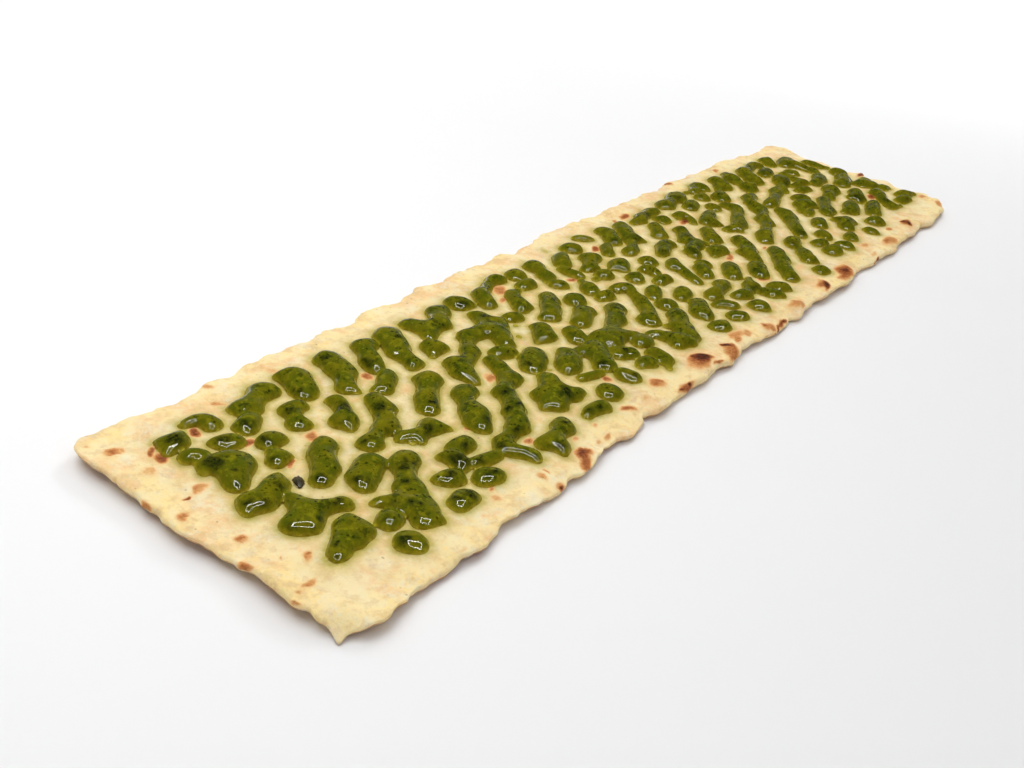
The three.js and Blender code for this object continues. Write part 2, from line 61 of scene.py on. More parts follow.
# Piped pesto, one row per bead: stroke number, x0, y0, x1, y1, radius. Beads with one number are one stroke.
BEADS = np.array([float(v) for v in """
0 66.5 -29.1 80.5 -21.9 2.8   0 81.4 -18.5 61.0 -35.8 3.5   0 75.7 -28.0 76.1 -28.0 1.3
0 63.3 -38.2 63.7 -37.7 1.3   1 -103.1 -27.9 -94.3 -19.0 4.3   1 -103.5 -21.4 -94.4 -28.6 3.4
1 -93.7 -13.9 -93.3 -14.4 1.3   1 -90.2 -29.5 -90.0 -28.7 1.7   1 -107.5 -25.9 -108.4 -26.9 1.7
2 127.5 -2.4 108.4 -18.9 3.6   2 127.9 0.8 124.5 -8.1 3.0   3 -181.8 -24.3 -184.6 -24.3 1.8
3 -180.1 -29.0 -175.6 -34.8 4.4   3 -174.8 -30.0 -164.8 -17.7 3.3   3 -172.3 -25.5 -179.2 -38.1 4.5
3 -162.6 -16.6 -165.5 -17.0 4.4   3 -176.9 -41.3 -176.2 -41.3 1.3   3 -183.0 -37.6 -182.5 -38.7 1.3
4 -147.7 21.0 -142.8 27.1 3.3   4 -140.1 36.9 -141.3 29.1 5.0   4 -145.1 32.3 -145.0 30.8 1.3
4 -149.2 23.3 -149.1 23.3 1.3   4 -146.5 17.9 -146.4 17.2 1.3   5 -119.9 26.3 -111.0 35.4 3.7
5 -115.8 35.6 -119.8 17.7 3.3   5 -112.9 37.3 -113.7 29.9 3.4   5 -113.5 26.1 -113.6 25.3 1.3
5 -117.1 16.9 -116.4 16.9 1.3   5 -122.8 16.5 -122.9 16.5 1.3   6 -12.2 -21.4 -25.2 -33.5 4.5
6 -23.6 -23.5 -23.7 -22.5 1.4   6 -17.3 -31.5 -16.9 -31.0 1.6   6 -21.7 -36.1 -21.3 -35.6 1.3
7 -113.7 4.3 -98.4 9.9 2.9   7 -111.6 0.9 -110.4 9.5 3.6   7 -91.1 17.3 -100.3 11.8 2.4
7 -79.7 8.2 -71.1 18.2 1.5   7 -81.6 17.8 -92.6 17.7 3.5   7 -75.8 24.8 -84.9 6.1 3.7
7 -76.3 29.0 -77.0 27.9 1.5   7 -91.4 21.6 -91.5 21.9 1.3   7 -88.1 14.6 -88.2 14.6 1.3
7 -113.1 -3.7 -113.0 -3.7 1.3   8 -52.9 -15.7 -53.9 -14.8 6.6   8 -51.9 -14.9 -40.4 -20.7 2.9
8 -50.5 -14.0 -27.2 -4.7 3.1   8 -29.2 -2.3 -35.0 -9.3 3.5   8 -41.2 -17.7 -40.5 -17.7 1.3
9 76.5 -3.9 63.4 -17.9 3.8   9 77.1 -1.4 76.7 -1.8 2.9   9 73.6 -13.3 73.8 -13.3 1.4
9 64.4 -10.7 64.8 -9.4 1.9   10 -125.2 7.8 -136.9 -2.7 3.8   10 -124.1 7.7 -123.4 7.6 4.1
10 -126.7 12.0 -126.6 12.0 1.3   10 -135.5 2.4 -134.1 3.9 1.6   11 -99.4 31.9 -100.7 36.5 4.1
11 -86.6 35.6 -90.7 28.9 3.0   11 -83.5 36.0 -101.9 26.5 3.1   11 -83.7 36.9 -85.3 36.9 4.2
12 -132.4 -21.8 -124.2 -7.1 2.5   12 -128.2 -12.9 -131.5 -17.5 4.5   12 -120.1 -4.9 -121.1 -4.2 4.5
12 -125.9 -16.9 -126.0 -16.6 1.3   12 -134.8 -20.3 -134.8 -17.8 1.3   13 -187.2 -7.6 -177.4 3.7 3.1
13 -183.6 -5.4 -173.8 5.2 3.1   13 -172.9 2.2 -173.2 1.9 1.7   13 -181.0 3.0 -180.3 4.3 1.3
13 -180.3 -6.0 -181.0 -6.5 1.3   13 -189.3 -7.2 -188.6 -5.9 1.8   14 -178.0 31.4 -179.3 33.9 4.2
14 -180.4 31.9 -167.4 37.3 3.6   14 -166.3 36.3 -169.5 37.2 3.9   14 -169.5 40.5 -169.2 40.5 1.3
14 -165.3 34.7 -165.4 34.7 1.3   15 -137.2 -32.3 -131.6 -39.8 2.8   15 -123.2 -28.1 -135.1 -29.8 2.6
15 -111.7 -14.7 -123.3 -28.2 3.6   15 -103.0 -9.6 -97.9 2.2 3.4   15 -101.5 -9.4 -112.8 -12.0 2.9
15 -105.6 -7.4 -105.7 -7.4 1.3   15 -115.9 -24.1 -115.5 -23.8 1.3   15 -121.7 -20.6 -121.8 -20.6 1.3
15 -126.1 -26.0 -126.0 -26.0 1.6   15 -134.1 -27.3 -133.7 -27.3 1.3   15 -131.8 -30.8 -131.7 -30.8 1.3
15 -133.3 -42.3 -133.2 -42.8 1.3   16 146.5 -15.7 163.5 -6.7 3.6   16 152.1 -16.9 153.5 -16.6 1.4
17 -164.7 -3.5 -164.5 -4.2 4.2   17 -161.1 -2.5 -155.4 0.3 2.4   17 -153.7 -2.4 -145.6 11.4 3.6
17 -148.6 10.7 -148.2 11.2 1.5   17 -145.1 4.4 -145.3 4.1 1.9   18 -56.8 9.0 -47.3 12.0 2.8
18 -54.4 7.6 -41.3 19.3 3.5   18 -41.8 14.0 -41.7 14.0 1.6   19 79.8 38.7 82.9 40.7 3.3
19 81.7 36.6 98.3 43.4 3.3   19 100.1 39.7 95.3 38.0 3.3   20 -90.7 -9.6 -82.9 -4.5 4.5
20 -89.3 -4.3 -88.6 -2.3 1.3   20 -83.4 -9.7 -82.7 -9.2 1.3   21 -181.6 -17.2 -180.3 -17.7 2.4
21 -178.7 -14.2 -172.5 -11.0 4.9   21 -168.0 -14.1 -168.1 -14.1 1.3   21 -180.5 -11.1 -180.4 -10.8 1.3
22 -158.8 39.9 -152.1 34.9 2.0   22 -154.9 36.7 -158.4 28.7 4.7   22 -159.3 36.0 -159.4 36.0 1.3
22 -160.1 32.4 -160.0 32.2 1.3   23 88.2 -12.1 106.6 -1.7 2.6   23 87.4 -10.0 92.1 -6.7 3.4
23 109.8 2.8 107.0 -1.5 3.1   23 118.2 9.6 120.4 6.5 3.4   23 126.6 16.9 158.9 29.8 1.4
23 128.2 19.9 113.2 1.5 2.6   23 132.0 17.4 121.5 14.6 2.6   23 142.0 26.3 143.2 24.0 3.8
23 154.2 25.3 160.9 38.4 3.4   23 157.2 35.4 174.3 39.4 3.1   23 178.0 35.8 178.2 36.6 3.1
23 151.7 31.1 152.4 31.4 1.7   23 107.6 -5.4 107.5 -5.4 1.3   24 -202.3 11.9 -199.0 12.9 4.9
24 -199.4 11.7 -205.9 6.3 3.6   24 -199.9 14.8 -204.4 16.3 4.5   24 -207.4 9.6 -207.5 9.4 1.3
25 -211.0 -3.1 -209.0 0.1 2.6   25 -205.9 -4.2 -197.9 -0.7 4.3   25 -194.6 2.8 -193.9 2.8 1.3
25 -212.8 -5.1 -212.9 -5.4 1.3   26 -74.3 -13.1 -80.6 -17.5 5.1   26 -73.3 -8.4 -72.4 -8.4 1.3
26 -84.7 -19.7 -84.8 -19.4 1.3   27 182.5 -18.3 188.8 -13.1 4.0   27 178.8 -14.2 180.2 -13.7 1.8
28 48.6 5.8 43.0 0.7 3.2   28 51.9 12.6 63.4 18.4 2.1   28 52.4 4.2 61.6 19.7 3.0
28 59.4 4.6 58.8 3.6 1.6   28 42.7 5.6 42.6 5.1 1.5   29 84.6 -33.0 89.7 -28.8 3.6
29 96.9 -18.1 86.3 -37.2 1.7   29 98.9 -20.0 95.0 -20.5 3.9   30 -66.1 -15.3 -69.0 -13.3 2.9
30 -61.5 -15.6 -69.8 -25.3 4.4   30 -73.1 -24.1 -73.0 -24.1 1.3   31 -131.9 25.4 -131.7 28.3 2.5
31 -126.0 35.2 -131.4 23.9 3.4   31 -122.6 34.4 -126.8 36.3 3.1   32 116.5 26.5 116.6 28.0 4.6
32 129.3 36.4 121.7 28.5 1.8   32 135.6 40.8 133.5 33.0 4.1   33 93.7 3.2 83.1 6.6 2.3
33 96.9 4.1 109.0 14.7 1.7   33 109.9 14.3 87.7 4.1 2.8   33 109.5 21.9 109.0 16.2 2.7
33 87.2 0.8 87.1 0.8 1.3   34 128.3 8.1 133.9 9.7 2.5   34 131.2 6.3 153.8 14.0 3.2
34 147.9 15.2 148.6 16.0 1.3   35 -39.9 3.1 -49.5 -1.5 4.1   35 -41.2 6.8 -41.0 6.8 1.3
35 -37.9 0.0 -38.6 0.0 1.3   36 169.4 -19.4 162.0 -22.3 4.5   36 156.8 -19.7 157.2 -19.7 2.0
37 -2.5 -26.2 4.0 -22.2 4.2   37 -3.2 -26.1 -2.2 -28.7 3.7   38 -24.8 -18.1 -9.1 1.9 2.2
38 -24.9 -17.5 -25.5 -15.8 4.1   38 -12.6 -6.8 -19.9 -15.9 2.0   38 -10.6 4.8 -14.2 5.3 3.1
39 -202.1 -17.7 -206.6 -16.2 4.2   39 -203.0 -13.9 -190.5 -18.1 2.9   39 -197.4 -15.7 -200.1 -9.4 2.5
39 -197.1 -4.3 -198.9 -5.1 1.3   39 -197.2 -9.3 -198.3 -9.1 1.3   39 -190.2 -20.6 -189.7 -20.6 1.3
39 -203.9 -21.8 -204.0 -22.1 1.3   39 -206.3 -20.1 -206.4 -20.1 1.3   40 -206.1 -31.9 -204.2 -30.5 3.1
40 -195.8 -27.6 -200.8 -29.7 3.9   40 -196.1 -30.0 -196.9 -25.9 4.0   40 -193.5 -23.0 -193.6 -23.0 1.3
40 -200.8 -26.5 -200.4 -26.0 1.3   40 -199.5 -33.4 -199.6 -33.4 1.3   40 -207.4 -33.8 -205.4 -33.8 1.3
40 -209.8 -32.7 -209.9 -32.7 1.3   41 20.6 20.4 21.6 21.1 3.3   41 32.6 30.2 24.7 19.8 2.1
41 37.0 34.0 34.3 26.0 3.4   41 42.0 38.0 39.9 34.3 4.2   41 37.3 22.7 37.4 22.7 1.3
42 78.2 17.0 85.6 10.5 1.7   42 81.9 16.1 92.0 20.0 3.9   43 52.3 -25.4 57.5 -22.0 4.8
44 142.4 37.3 149.5 40.7 2.6   44 149.1 41.2 143.0 30.8 3.4   45 64.9 4.3 72.2 10.5 3.8
45 68.5 1.8 68.9 1.8 1.4   46 -122.0 -43.1 -124.7 -38.4 3.4   46 -122.9 -38.3 -112.2 -38.8 2.6
46 -110.9 -35.9 -113.3 -36.4 3.5   46 -124.4 -45.5 -124.5 -45.5 1.3   47 -6.5 36.8 -11.8 32.3 4.0
48 29.6 41.6 28.9 41.0 2.4   48 29.3 36.8 24.1 30.8 4.2   49 -70.3 -0.1 -66.3 3.9 3.8
49 -65.7 8.7 -66.1 8.7 1.3   49 -66.4 -1.8 -67.0 -2.3 1.3   49 -74.6 -0.6 -73.5 -0.1 1.4
50 -58.0 19.1 -52.6 27.1 3.5   50 -50.5 31.1 -50.4 31.1 1.3   50 -48.5 28.3 -46.1 29.0 1.3
50 -54.6 17.5 -53.7 17.5 1.5   51 180.1 -3.3 169.4 -7.2 3.4   51 180.6 -3.9 180.2 -3.1 5.0
52 40.7 -18.9 46.9 -14.2 4.1   53 26.7 2.6 22.2 -11.6 3.0   53 28.3 3.4 22.6 1.6 2.6
54 42.0 15.4 32.0 10.8 3.3   54 43.9 12.2 44.8 12.5 1.8   54 37.0 16.5 37.9 16.5 1.3
54 28.2 9.9 29.3 9.9 1.6   55 139.6 -29.0 147.4 -25.7 4.1   55 142.3 -20.8 142.4 -20.8 2.0
55 148.8 -30.0 149.2 -30.0 1.5   56 201.9 -1.4 194.7 -3.5 4.7   56 206.1 1.4 204.9 -1.7 4.0
57 -62.3 35.3 -66.1 28.7 3.7   57 -52.4 39.5 -58.9 36.1 2.4   57 -44.9 39.7 -47.3 40.6 3.6
58 52.7 37.1 56.8 36.3 2.8   58 60.0 38.8 71.9 38.3 3.2   58 68.6 42.1 69.5 42.1 1.3
59 198.0 32.9 200.2 13.1 2.7   59 201.7 30.9 194.7 29.1 4.4   60 181.7 -26.2 171.1 -30.5 4.1
61 1.6 26.9 -8.1 23.0 3.2   61 4.1 26.5 1.3 29.9 3.2   61 -4.0 20.0 -3.6 20.3 1.5
62 -34.3 -34.1 -32.9 -33.9 3.3   62 -27.7 -35.9 -31.6 -27.1 3.4   63 -58.8 -4.0 -61.1 -8.3 4.0
64 -48.4 -36.7 -47.6 -32.1 3.8   64 -52.0 -41.1 -52.1 -41.1 1.3   65 133.3 -17.6 129.6 -19.7 4.1
66 -145.3 -12.3 -153.8 -8.9 2.5   66 -142.7 -11.5 -143.0 -7.8 2.6   66 -147.2 -8.2 -146.2 -7.7 1.3
66 -140.5 -15.1 -140.9 -15.1 1.3   66 -154.1 -5.9 -153.7 -5.2 1.3   66 -156.6 -7.8 -156.7 -7.8 1.3
66 -152.2 -13.7 -152.0 -13.7 1.7   67 188.2 34.4 191.8 39.8 3.9   68 -73.6 35.7 -74.5 37.4 4.5
68 -70.5 32.1 -70.6 31.8 1.5   69 -161.0 7.5 -162.5 10.4 3.4   69 -159.2 9.1 -154.7 18.9 2.6
69 -156.4 20.5 -155.7 20.5 1.3   69 -162.4 4.9 -162.5 4.9 1.3   70 13.6 -22.5 29.2 -20.6 2.9
70 28.1 -21.3 27.1 -18.2 2.5   70 32.3 -20.8 32.4 -20.8 1.3   70 15.6 -19.8 15.8 -19.6 1.3
70 15.5 -25.9 16.9 -25.4 1.5   71 138.1 -5.9 143.8 -4.2 2.5   71 144.8 -2.4 149.4 -5.3 4.2
72 -43.3 -24.5 -41.1 -23.5 4.7   73 186.5 -34.5 193.4 -35.6 1.3   73 199.0 -21.1 188.5 -31.4 2.9
73 201.3 -20.0 197.7 -24.7 3.1   73 195.8 -18.8 195.7 -18.8 1.3   73 190.3 -26.3 191.2 -25.3 1.9
73 195.9 -35.7 195.8 -35.7 1.5   74 23.3 -29.1 27.3 -32.2 3.0   74 38.8 -31.7 24.4 -29.1 2.0
74 37.6 -28.1 36.0 -29.2 3.6   74 42.9 -24.7 43.3 -24.7 2.1   75 31.1 -11.1 34.4 -6.9 3.7
76 -189.0 -41.8 -189.8 -41.0 4.3   76 -189.2 -37.8 -189.1 -37.5 1.3   76 -190.0 -44.7 -189.6 -45.4 1.5
77 -29.2 27.3 -24.5 28.8 2.2   77 -21.1 36.9 -27.3 31.6 2.4   77 -22.2 39.6 -25.2 39.1 3.6
78 -207.1 31.5 -204.8 31.2 3.9   78 -201.1 34.6 -201.2 34.3 1.3   78 -209.0 35.0 -208.1 35.5 1.3
78 -210.5 28.9 -210.6 28.9 1.3   79 -82.0 -35.5 -83.7 -35.9 4.5   80 58.1 -3.4 55.0 -2.7 4.6
80 50.0 -4.5 50.2 -4.5 1.3   81 164.9 17.6 169.4 19.6 4.8   82 39.8 -40.1 36.8 -35.3 3.4
82 34.6 -39.1 35.3 -40.1 1.3   83 -24.1 5.2 -20.7 4.3 3.1   84 -150.7 -24.4 -152.3 -28.5 3.5
84 -153.9 -21.7 -154.0 -21.7 1.3   85 4.6 38.8 4.4 39.4 4.9   86 206.4 -10.5 208.8 -13.6 5.4
87 -54.9 -26.4 -59.4 -23.0 3.9   88 190.4 6.6 181.7 5.9 3.8   88 195.2 9.2 192.1 8.1 4.2
89 -148.7 -37.4 -152.3 -36.8 3.5   89 -151.1 -34.3 -151.2 -34.3 1.3   89 -149.2 -39.1 -147.0 -39.1 1.5
90 -34.9 10.4 -34.2 10.6 5.0   91 7.4 16.6 5.1 16.7 4.5   91 -1.0 17.1 -1.1 17.1 1.3
91 4.5 11.3 4.1 11.8 1.6   92 103.9 -36.2 105.7 -36.9 4.6   93 160.9 -36.9 159.0 -35.1 4.0
93 155.6 -32.5 156.0 -32.5 1.3   94 127.5 -36.0 131.0 -35.0 3.6   95 48.7 23.4 50.1 20.9 2.6
95 50.2 22.7 57.0 29.5 3.4   96 -88.5 2.0 -92.7 4.3 3.5   97 91.6 30.3 95.6 31.6 4.0
98 -7.0 -36.7 -6.2 -37.6 4.4   98 -0.3 -36.7 -0.4 -36.7 1.5   99 -107.2 19.9 -106.7 21.7 4.0
99 -103.7 16.9 -103.8 17.5 1.3   99 -111.1 16.7 -110.9 16.7 1.3   100 22.7 -41.1 21.3 -38.8 3.8
101 7.8 -39.0 5.9 -36.5 3.3   102 -192.6 21.8 -196.3 22.7 3.5   102 -198.7 24.8 -199.0 24.7 1.3
103 -183.9 15.8 -186.4 15.1 3.8   103 -181.3 14.5 -181.7 13.9 1.8   104 9.9 -27.3 14.0 -33.0 2.7
105 -171.7 16.1 -173.5 17.5 3.1   105 -168.8 23.0 -172.5 15.7 1.8   105 -164.9 23.8 -169.7 24.6 2.9
105 -172.2 23.4 -172.1 23.4 1.3   106 6.4 -2.3 10.9 -2.9 3.3   107 117.8 -27.1 118.8 -25.3 4.0
108 -157.9 -30.8 -160.4 -29.9 4.0   108 -163.9 -28.1 -164.5 -28.6 1.3   109 -8.2 15.7 -6.8 14.5 3.7
110 -69.6 -32.3 -68.4 -35.6 3.5   111 -166.5 -39.3 -162.6 -39.1 3.6   111 -163.0 -36.0 -163.9 -36.2 1.3
111 -160.1 -40.3 -160.2 -40.3 1.3   111 -161.9 -41.4 -161.5 -41.2 1.3   111 -167.7 -41.1 -167.8 -41.4 1.3
112 18.1 11.0 18.9 9.1 3.7   113 4.5 -14.5 7.8 -13.3 4.0   114 -194.0 37.6 -197.8 37.3 2.1
114 -192.0 34.6 -191.6 32.9 3.4   114 -194.0 30.6 -192.1 30.3 1.3   115 207.9 -33.8 201.7 -33.5 3.7
116 -138.6 13.6 -131.3 19.0 3.1   116 -142.6 15.2 -140.6 15.8 1.3   117 74.9 19.0 78.9 24.3 1.5
117 76.1 27.9 76.2 27.3 3.2   117 72.4 25.9 72.7 25.9 1.3   117 74.3 19.8 74.7 19.8 1.3
118 -7.0 -15.0 -8.6 -13.9 4.3   119 45.4 -36.2 48.9 -38.4 4.0   120 1.1 5.1 0.7 5.9 3.9
121 160.4 15.3 154.3 11.0 2.9   122 -96.2 -37.5 -100.1 -38.1 2.2   122 -91.7 -39.1 -95.1 -37.7 3.2
123 -207.1 24.5 -204.4 21.4 3.1   123 -209.3 23.4 -209.4 23.4 1.3   124 -185.6 24.7 -182.3 27.0 3.8
124 -179.3 27.0 -179.7 26.4 1.3   124 -188.1 26.9 -188.0 26.9 1.3   125 -37.9 29.9 -42.4 30.1 3.5
126 80.0 -41.5 78.8 -41.2 3.7   126 81.9 -43.7 83.9 -43.7 1.3   127 212.2 4.0 211.0 6.4 4.3
128 210.7 24.4 210.0 16.6 3.0   128 212.7 11.8 212.9 12.3 2.0   129 163.4 6.8 170.1 5.1 2.8
130 -5.9 -7.4 -2.1 -4.7 3.6   131 155.0 -0.8 150.7 2.3 3.6   132 177.4 9.1 167.4 12.0 2.2
132 179.4 23.7 175.9 13.3 2.4   133 -27.1 22.2 -29.0 23.6 3.4   134 117.3 -38.7 114.9 -35.6 3.2
134 113.5 -40.0 113.4 -40.0 1.3   134 115.5 -42.6 115.4 -42.6 1.3   135 -35.9 38.2 -36.3 37.6 4.6
136 -64.5 16.4 -68.2 17.6 3.2   137 -188.0 8.4 -190.8 7.3 3.1   137 -188.9 12.3 -189.1 11.5 1.3
137 -186.4 6.4 -185.8 6.4 1.3   138 121.8 39.1 121.5 43.2 3.6   139 11.3 2.2 12.1 6.5 3.2
139 9.2 8.0 8.6 7.7 1.3   140 101.7 24.7 101.1 21.5 3.2   141 -142.8 -22.9 -147.3 -22.5 3.8
142 -186.3 -31.3 -186.4 -31.7 4.1   142 -190.3 -31.0 -190.4 -30.8 1.3   142 -189.6 -33.3 -189.7 -33.3 1.3
143 146.3 -37.8 146.1 -39.9 3.4   144 -21.3 13.6 -22.7 10.2 3.5   144 -18.5 18.7 -18.6 18.5 1.8
145 -55.9 -33.5 -54.7 -34.0 3.8   145 -60.6 -33.8 -59.9 -33.5 1.3   146 167.3 28.4 173.4 30.0 4.2
147 65.8 29.5 65.1 29.9 3.4   147 63.4 34.0 63.3 34.0 1.3   148 17.8 30.2 12.0 25.8 3.1
149 108.9 -29.8 106.1 -28.0 3.2   150 -83.9 -24.5 -75.3 -26.9 1.9   151 109.5 32.5 108.2 33.9 3.4
152 18.3 38.9 14.5 43.6 2.2   153 212.2 -19.0 211.7 -19.7 3.1   153 216.7 -21.0 217.1 -21.5 1.6
154 212.0 -29.4 214.6 -31.2 3.5   154 215.4 -31.6 211.5 -31.1 2.9   154 220.5 -33.6 221.4 -33.6 1.8
155 -140.8 -32.2 -149.3 -30.5 2.7   156 -30.9 -26.1 -34.3 -22.9 2.8   157 -16.2 29.8 -16.2 20.9 2.5
158 111.1 39.2 120.6 44.2 2.6   158 106.1 41.5 106.5 41.5 1.5   158 115.6 35.6 116.0 36.4 1.3
159 216.2 -10.8 217.7 -6.9 2.4   160 184.4 23.0 185.5 19.5 3.0   161 -206.8 20.2 -208.4 15.6 1.9
162 136.8 -9.9 142.7 -9.2 2.3   163 37.6 -4.7 39.5 -6.5 3.0   164 -13.2 15.6 -12.3 15.3 1.8
165 -70.5 12.8 -70.2 12.8 1.3   166 -76.2 6.8 -75.9 6.8 1.3   167 -87.0 -13.8 -86.7 -13.8 1.2
168 -154.6 -12.0 -154.3 -12.0 1.3   169 -97.7 -29.3 -97.4 -29.3 1.2   170 -5.3 45.5 -5.0 45.5 0.9
""".split()]).reshape(-1, 6)

# The bread's outline seen from above, side by side, at even steps.
FRONT_X0, BACK_X0, LEFT_Y0, RIGHT_Y0, STEP = -212.0, -222.0, -42.0, -42.0, 2.0
FRONT = [float(v) for v in """
-56.0 -55.6 -55.3 -55.0 -54.6 -54.5 -54.5 -54.2 -54.1 -54.3 -54.3 -54.5 -54.7 -54.8 -53.8 -54.2 -54.6 -55.2 -55.5
-55.2 -54.8 -54.6 -54.8 -53.5 -53.0 -53.4 -53.7 -53.9 -53.8 -54.0 -54.2 -54.4 -54.6 -54.8 -55.0 -54.9 -54.8 -54.6
-54.4 -53.5 -53.1 -53.4 -54.2 -54.6 -54.2 -54.0 -53.5 -53.4 -52.8 -52.6 -52.3 -51.5 -51.5 -51.4 -51.6 -52.0 -52.5
-53.2 -53.4 -52.8 -52.6 -52.4 -52.1 -51.3 -50.2 -50.8 -51.8 -52.5 -52.8 -52.9 -52.8 -52.5 -51.6 -51.5 -51.3 -51.4
-51.8 -51.7 -51.3 -51.6 -51.8 -52.3 -52.5 -52.4 -52.4 -52.0 -51.7 -51.6 -51.1 -51.4 -52.2 -52.7 -53.0 -53.0 -52.9
-52.4 -52.5 -52.3 -51.9 -51.3 -51.2 -51.2 -51.1 -51.0 -51.4 -51.7 -51.8 -52.0 -52.2 -52.7 -53.2 -53.3 -53.1 -52.8
-52.5 -52.6 -52.8 -52.8 -52.5 -52.0 -52.6 -53.8 -54.3 -54.4 -53.6 -52.9 -52.7 -52.7 -52.9 -52.6 -52.3 -52.2 -52.3
-53.1 -53.5 -53.6 -53.6 -53.8 -53.8 -53.8 -53.6 -53.5 -53.5 -53.6 -54.3 -54.6 -54.5 -54.3 -54.2 -53.8 -53.5 -53.3
-52.8 -52.7 -52.3 -51.8 -51.8 -51.8 -52.0 -52.2 -52.4 -52.9 -53.7 -54.0 -53.9 -53.9 -53.5 -52.8 -52.8 -52.8 -53.4
-53.9 -54.1 -54.1 -54.2 -54.2 -54.2 -53.6 -53.6 -53.5 -53.2 -52.7 -52.3 -52.2 -52.7 -53.0 -53.3 -53.7 -53.7 -53.7
-53.6 -53.4 -52.9 -52.4 -52.2 -52.0 -51.8 -52.2 -52.5 -52.9 -53.3 -53.9 -54.7 -54.5 -54.2 -53.9 -53.6 -53.4 -53.3
-53.2 -53.0 -52.7 -52.3 -52.3 -52.3
""".split()]
BACK = [float(v) for v in """
49.6 50.0 49.9 50.2 50.5 50.5 50.7 51.1 50.9 50.4 50.7 50.8 50.9 51.3 51.4 50.7 50.0 50.7 50.9 51.0 50.8 51.2 52.1
52.2 52.3 51.9 51.1 50.6 51.2 52.2 53.0 53.2 52.4 52.2 52.6 53.5 53.5 53.0 52.6 52.5 53.0 52.8 52.4 52.0 51.6 51.8
52.5 52.9 53.7 53.5 52.7 51.5 50.8 50.4 50.3 51.6 52.1 52.7 53.5 54.2 54.5 55.1 54.7 54.3 54.0 52.8 52.0 51.8 52.9
53.4 53.8 54.3 54.5 55.3 55.6 55.1 54.7 54.5 54.4 54.2 54.3 54.7 54.7 55.0 55.5 56.3 56.1 55.4 55.1 55.4 55.6 55.7
55.3 54.4 54.3 54.5 54.7 55.3 56.2 56.2 56.6 54.4 52.1 52.8 53.2 53.7 54.0 54.0 53.7 53.6 54.4 55.0 55.7 55.9 56.7
57.0 56.8 56.8 56.6 56.5 56.3 55.8 55.5 55.3 55.2 55.4 55.5 55.0 55.4 55.7 55.6 55.3 54.8 54.1 54.0 53.8 53.8 54.1
54.2 54.2 54.1 53.9 53.8 54.1 54.6 55.2 55.4 55.1 55.0 54.9 54.6 54.6 54.6 54.7 54.9 55.3 55.6 56.2 55.4 54.8 54.1
53.5 53.8 54.9 55.1 55.2 55.6 56.2 56.8 57.2 56.9 56.0 54.9 53.9 53.6 53.8 54.0 54.5 54.4 54.6 54.4 53.8 53.7 53.7
54.0 53.8 53.7 53.8 53.4 53.4 53.6 53.7 54.2 55.0 55.4 55.5 55.3 55.1 54.6 53.8 53.3 53.2 53.2 52.9 53.1 53.9 53.6
52.1 51.1 51.0 50.9 50.8 51.1 51.6 51.4 51.1 51.1 51.4 51.6 51.9 52.0 51.8 51.3
""".split()]
LEFT = [float(v) for v in """
-226.6 -227.4 -228.1 -227.5 -227.5 -227.7 -227.8 -227.1 -226.8 -226.3 -226.6 -227.5 -227.6 -227.3 -227.8 -227.8 -227.8
-228.4 -228.8 -229.2 -229.4 -229.5 -229.6 -229.6 -229.4 -228.7 -227.9 -228.1 -228.6 -229.0 -228.9 -228.6 -228.2 -228.2
-227.9 -227.4 -227.7 -227.8 -228.1 -228.5 -228.5 -228.2 -228.1
""".split()]
RIGHT = [float(v) for v in """
227.6 228.5 230.7 230.5 229.9 228.8 228.2 228.0 227.6 227.3 226.7 228.7 230.1 230.9 230.8 229.7 228.7 226.6 225.8
227.3 231.8 232.9 228.9 225.3 224.5 224.7 225.0 224.0 222.9 224.0 224.4 225.7 225.1 224.1 224.3 222.9 223.2 224.0
224.6 225.9 227.0 228.3 229.0
""".split()]
# Between the sides, the corners. The first is the pulled-out nib of dough.
NIB = (-226.9, -52.3)
NEAR_CORNER_LEFT = [(-227.2, -43.7), (-227.6, -44.8), (-227.1, -45.9), (-226.3, -47.1), (-226.2, -48.3), (-226.5, -49.6), (-226.9, -50.9)]
NEAR_CORNER_FRONT = [(-225.9, -52.4), (-224.8, -52.1), (-223.6, -52.0), (-222.4, -52.5), (-221.3, -53.7), (-219.7, -55.2), (-217.5, -56.2), (-214.6, -56.2)]
BACK_LEFT = [(-228.3, 43.6), (-228.0, 44.9), (-227.4, 46.2)]
BACK_LEFT_CORNER = (-226.5, 47.5)
BACK_LEFT_BACK = [(-225.6, 48.5), (-224.4, 49.3), (-223.2, 49.6)]
FAR_BACK = [(223.3, 50.7), (224.7, 49.8), (225.7, 48.5)]
FAR_BACK_CORNER = (227.0, 47.2)
FAR_BACK_RIGHT = [(228.4, 45.7), (229.5, 44.5), (229.6, 43.2)]
FAR_FRONT_RIGHT = [(228.0, -43.4), (227.9, -44.4), (227.3, -45.5)]
FAR_FRONT_CORNER = (225.9, -46.9)
FAR_FRONT = [(224.3, -48.3), (222.3, -49.7), (219.6, -50.9), (217.6, -51.7)]

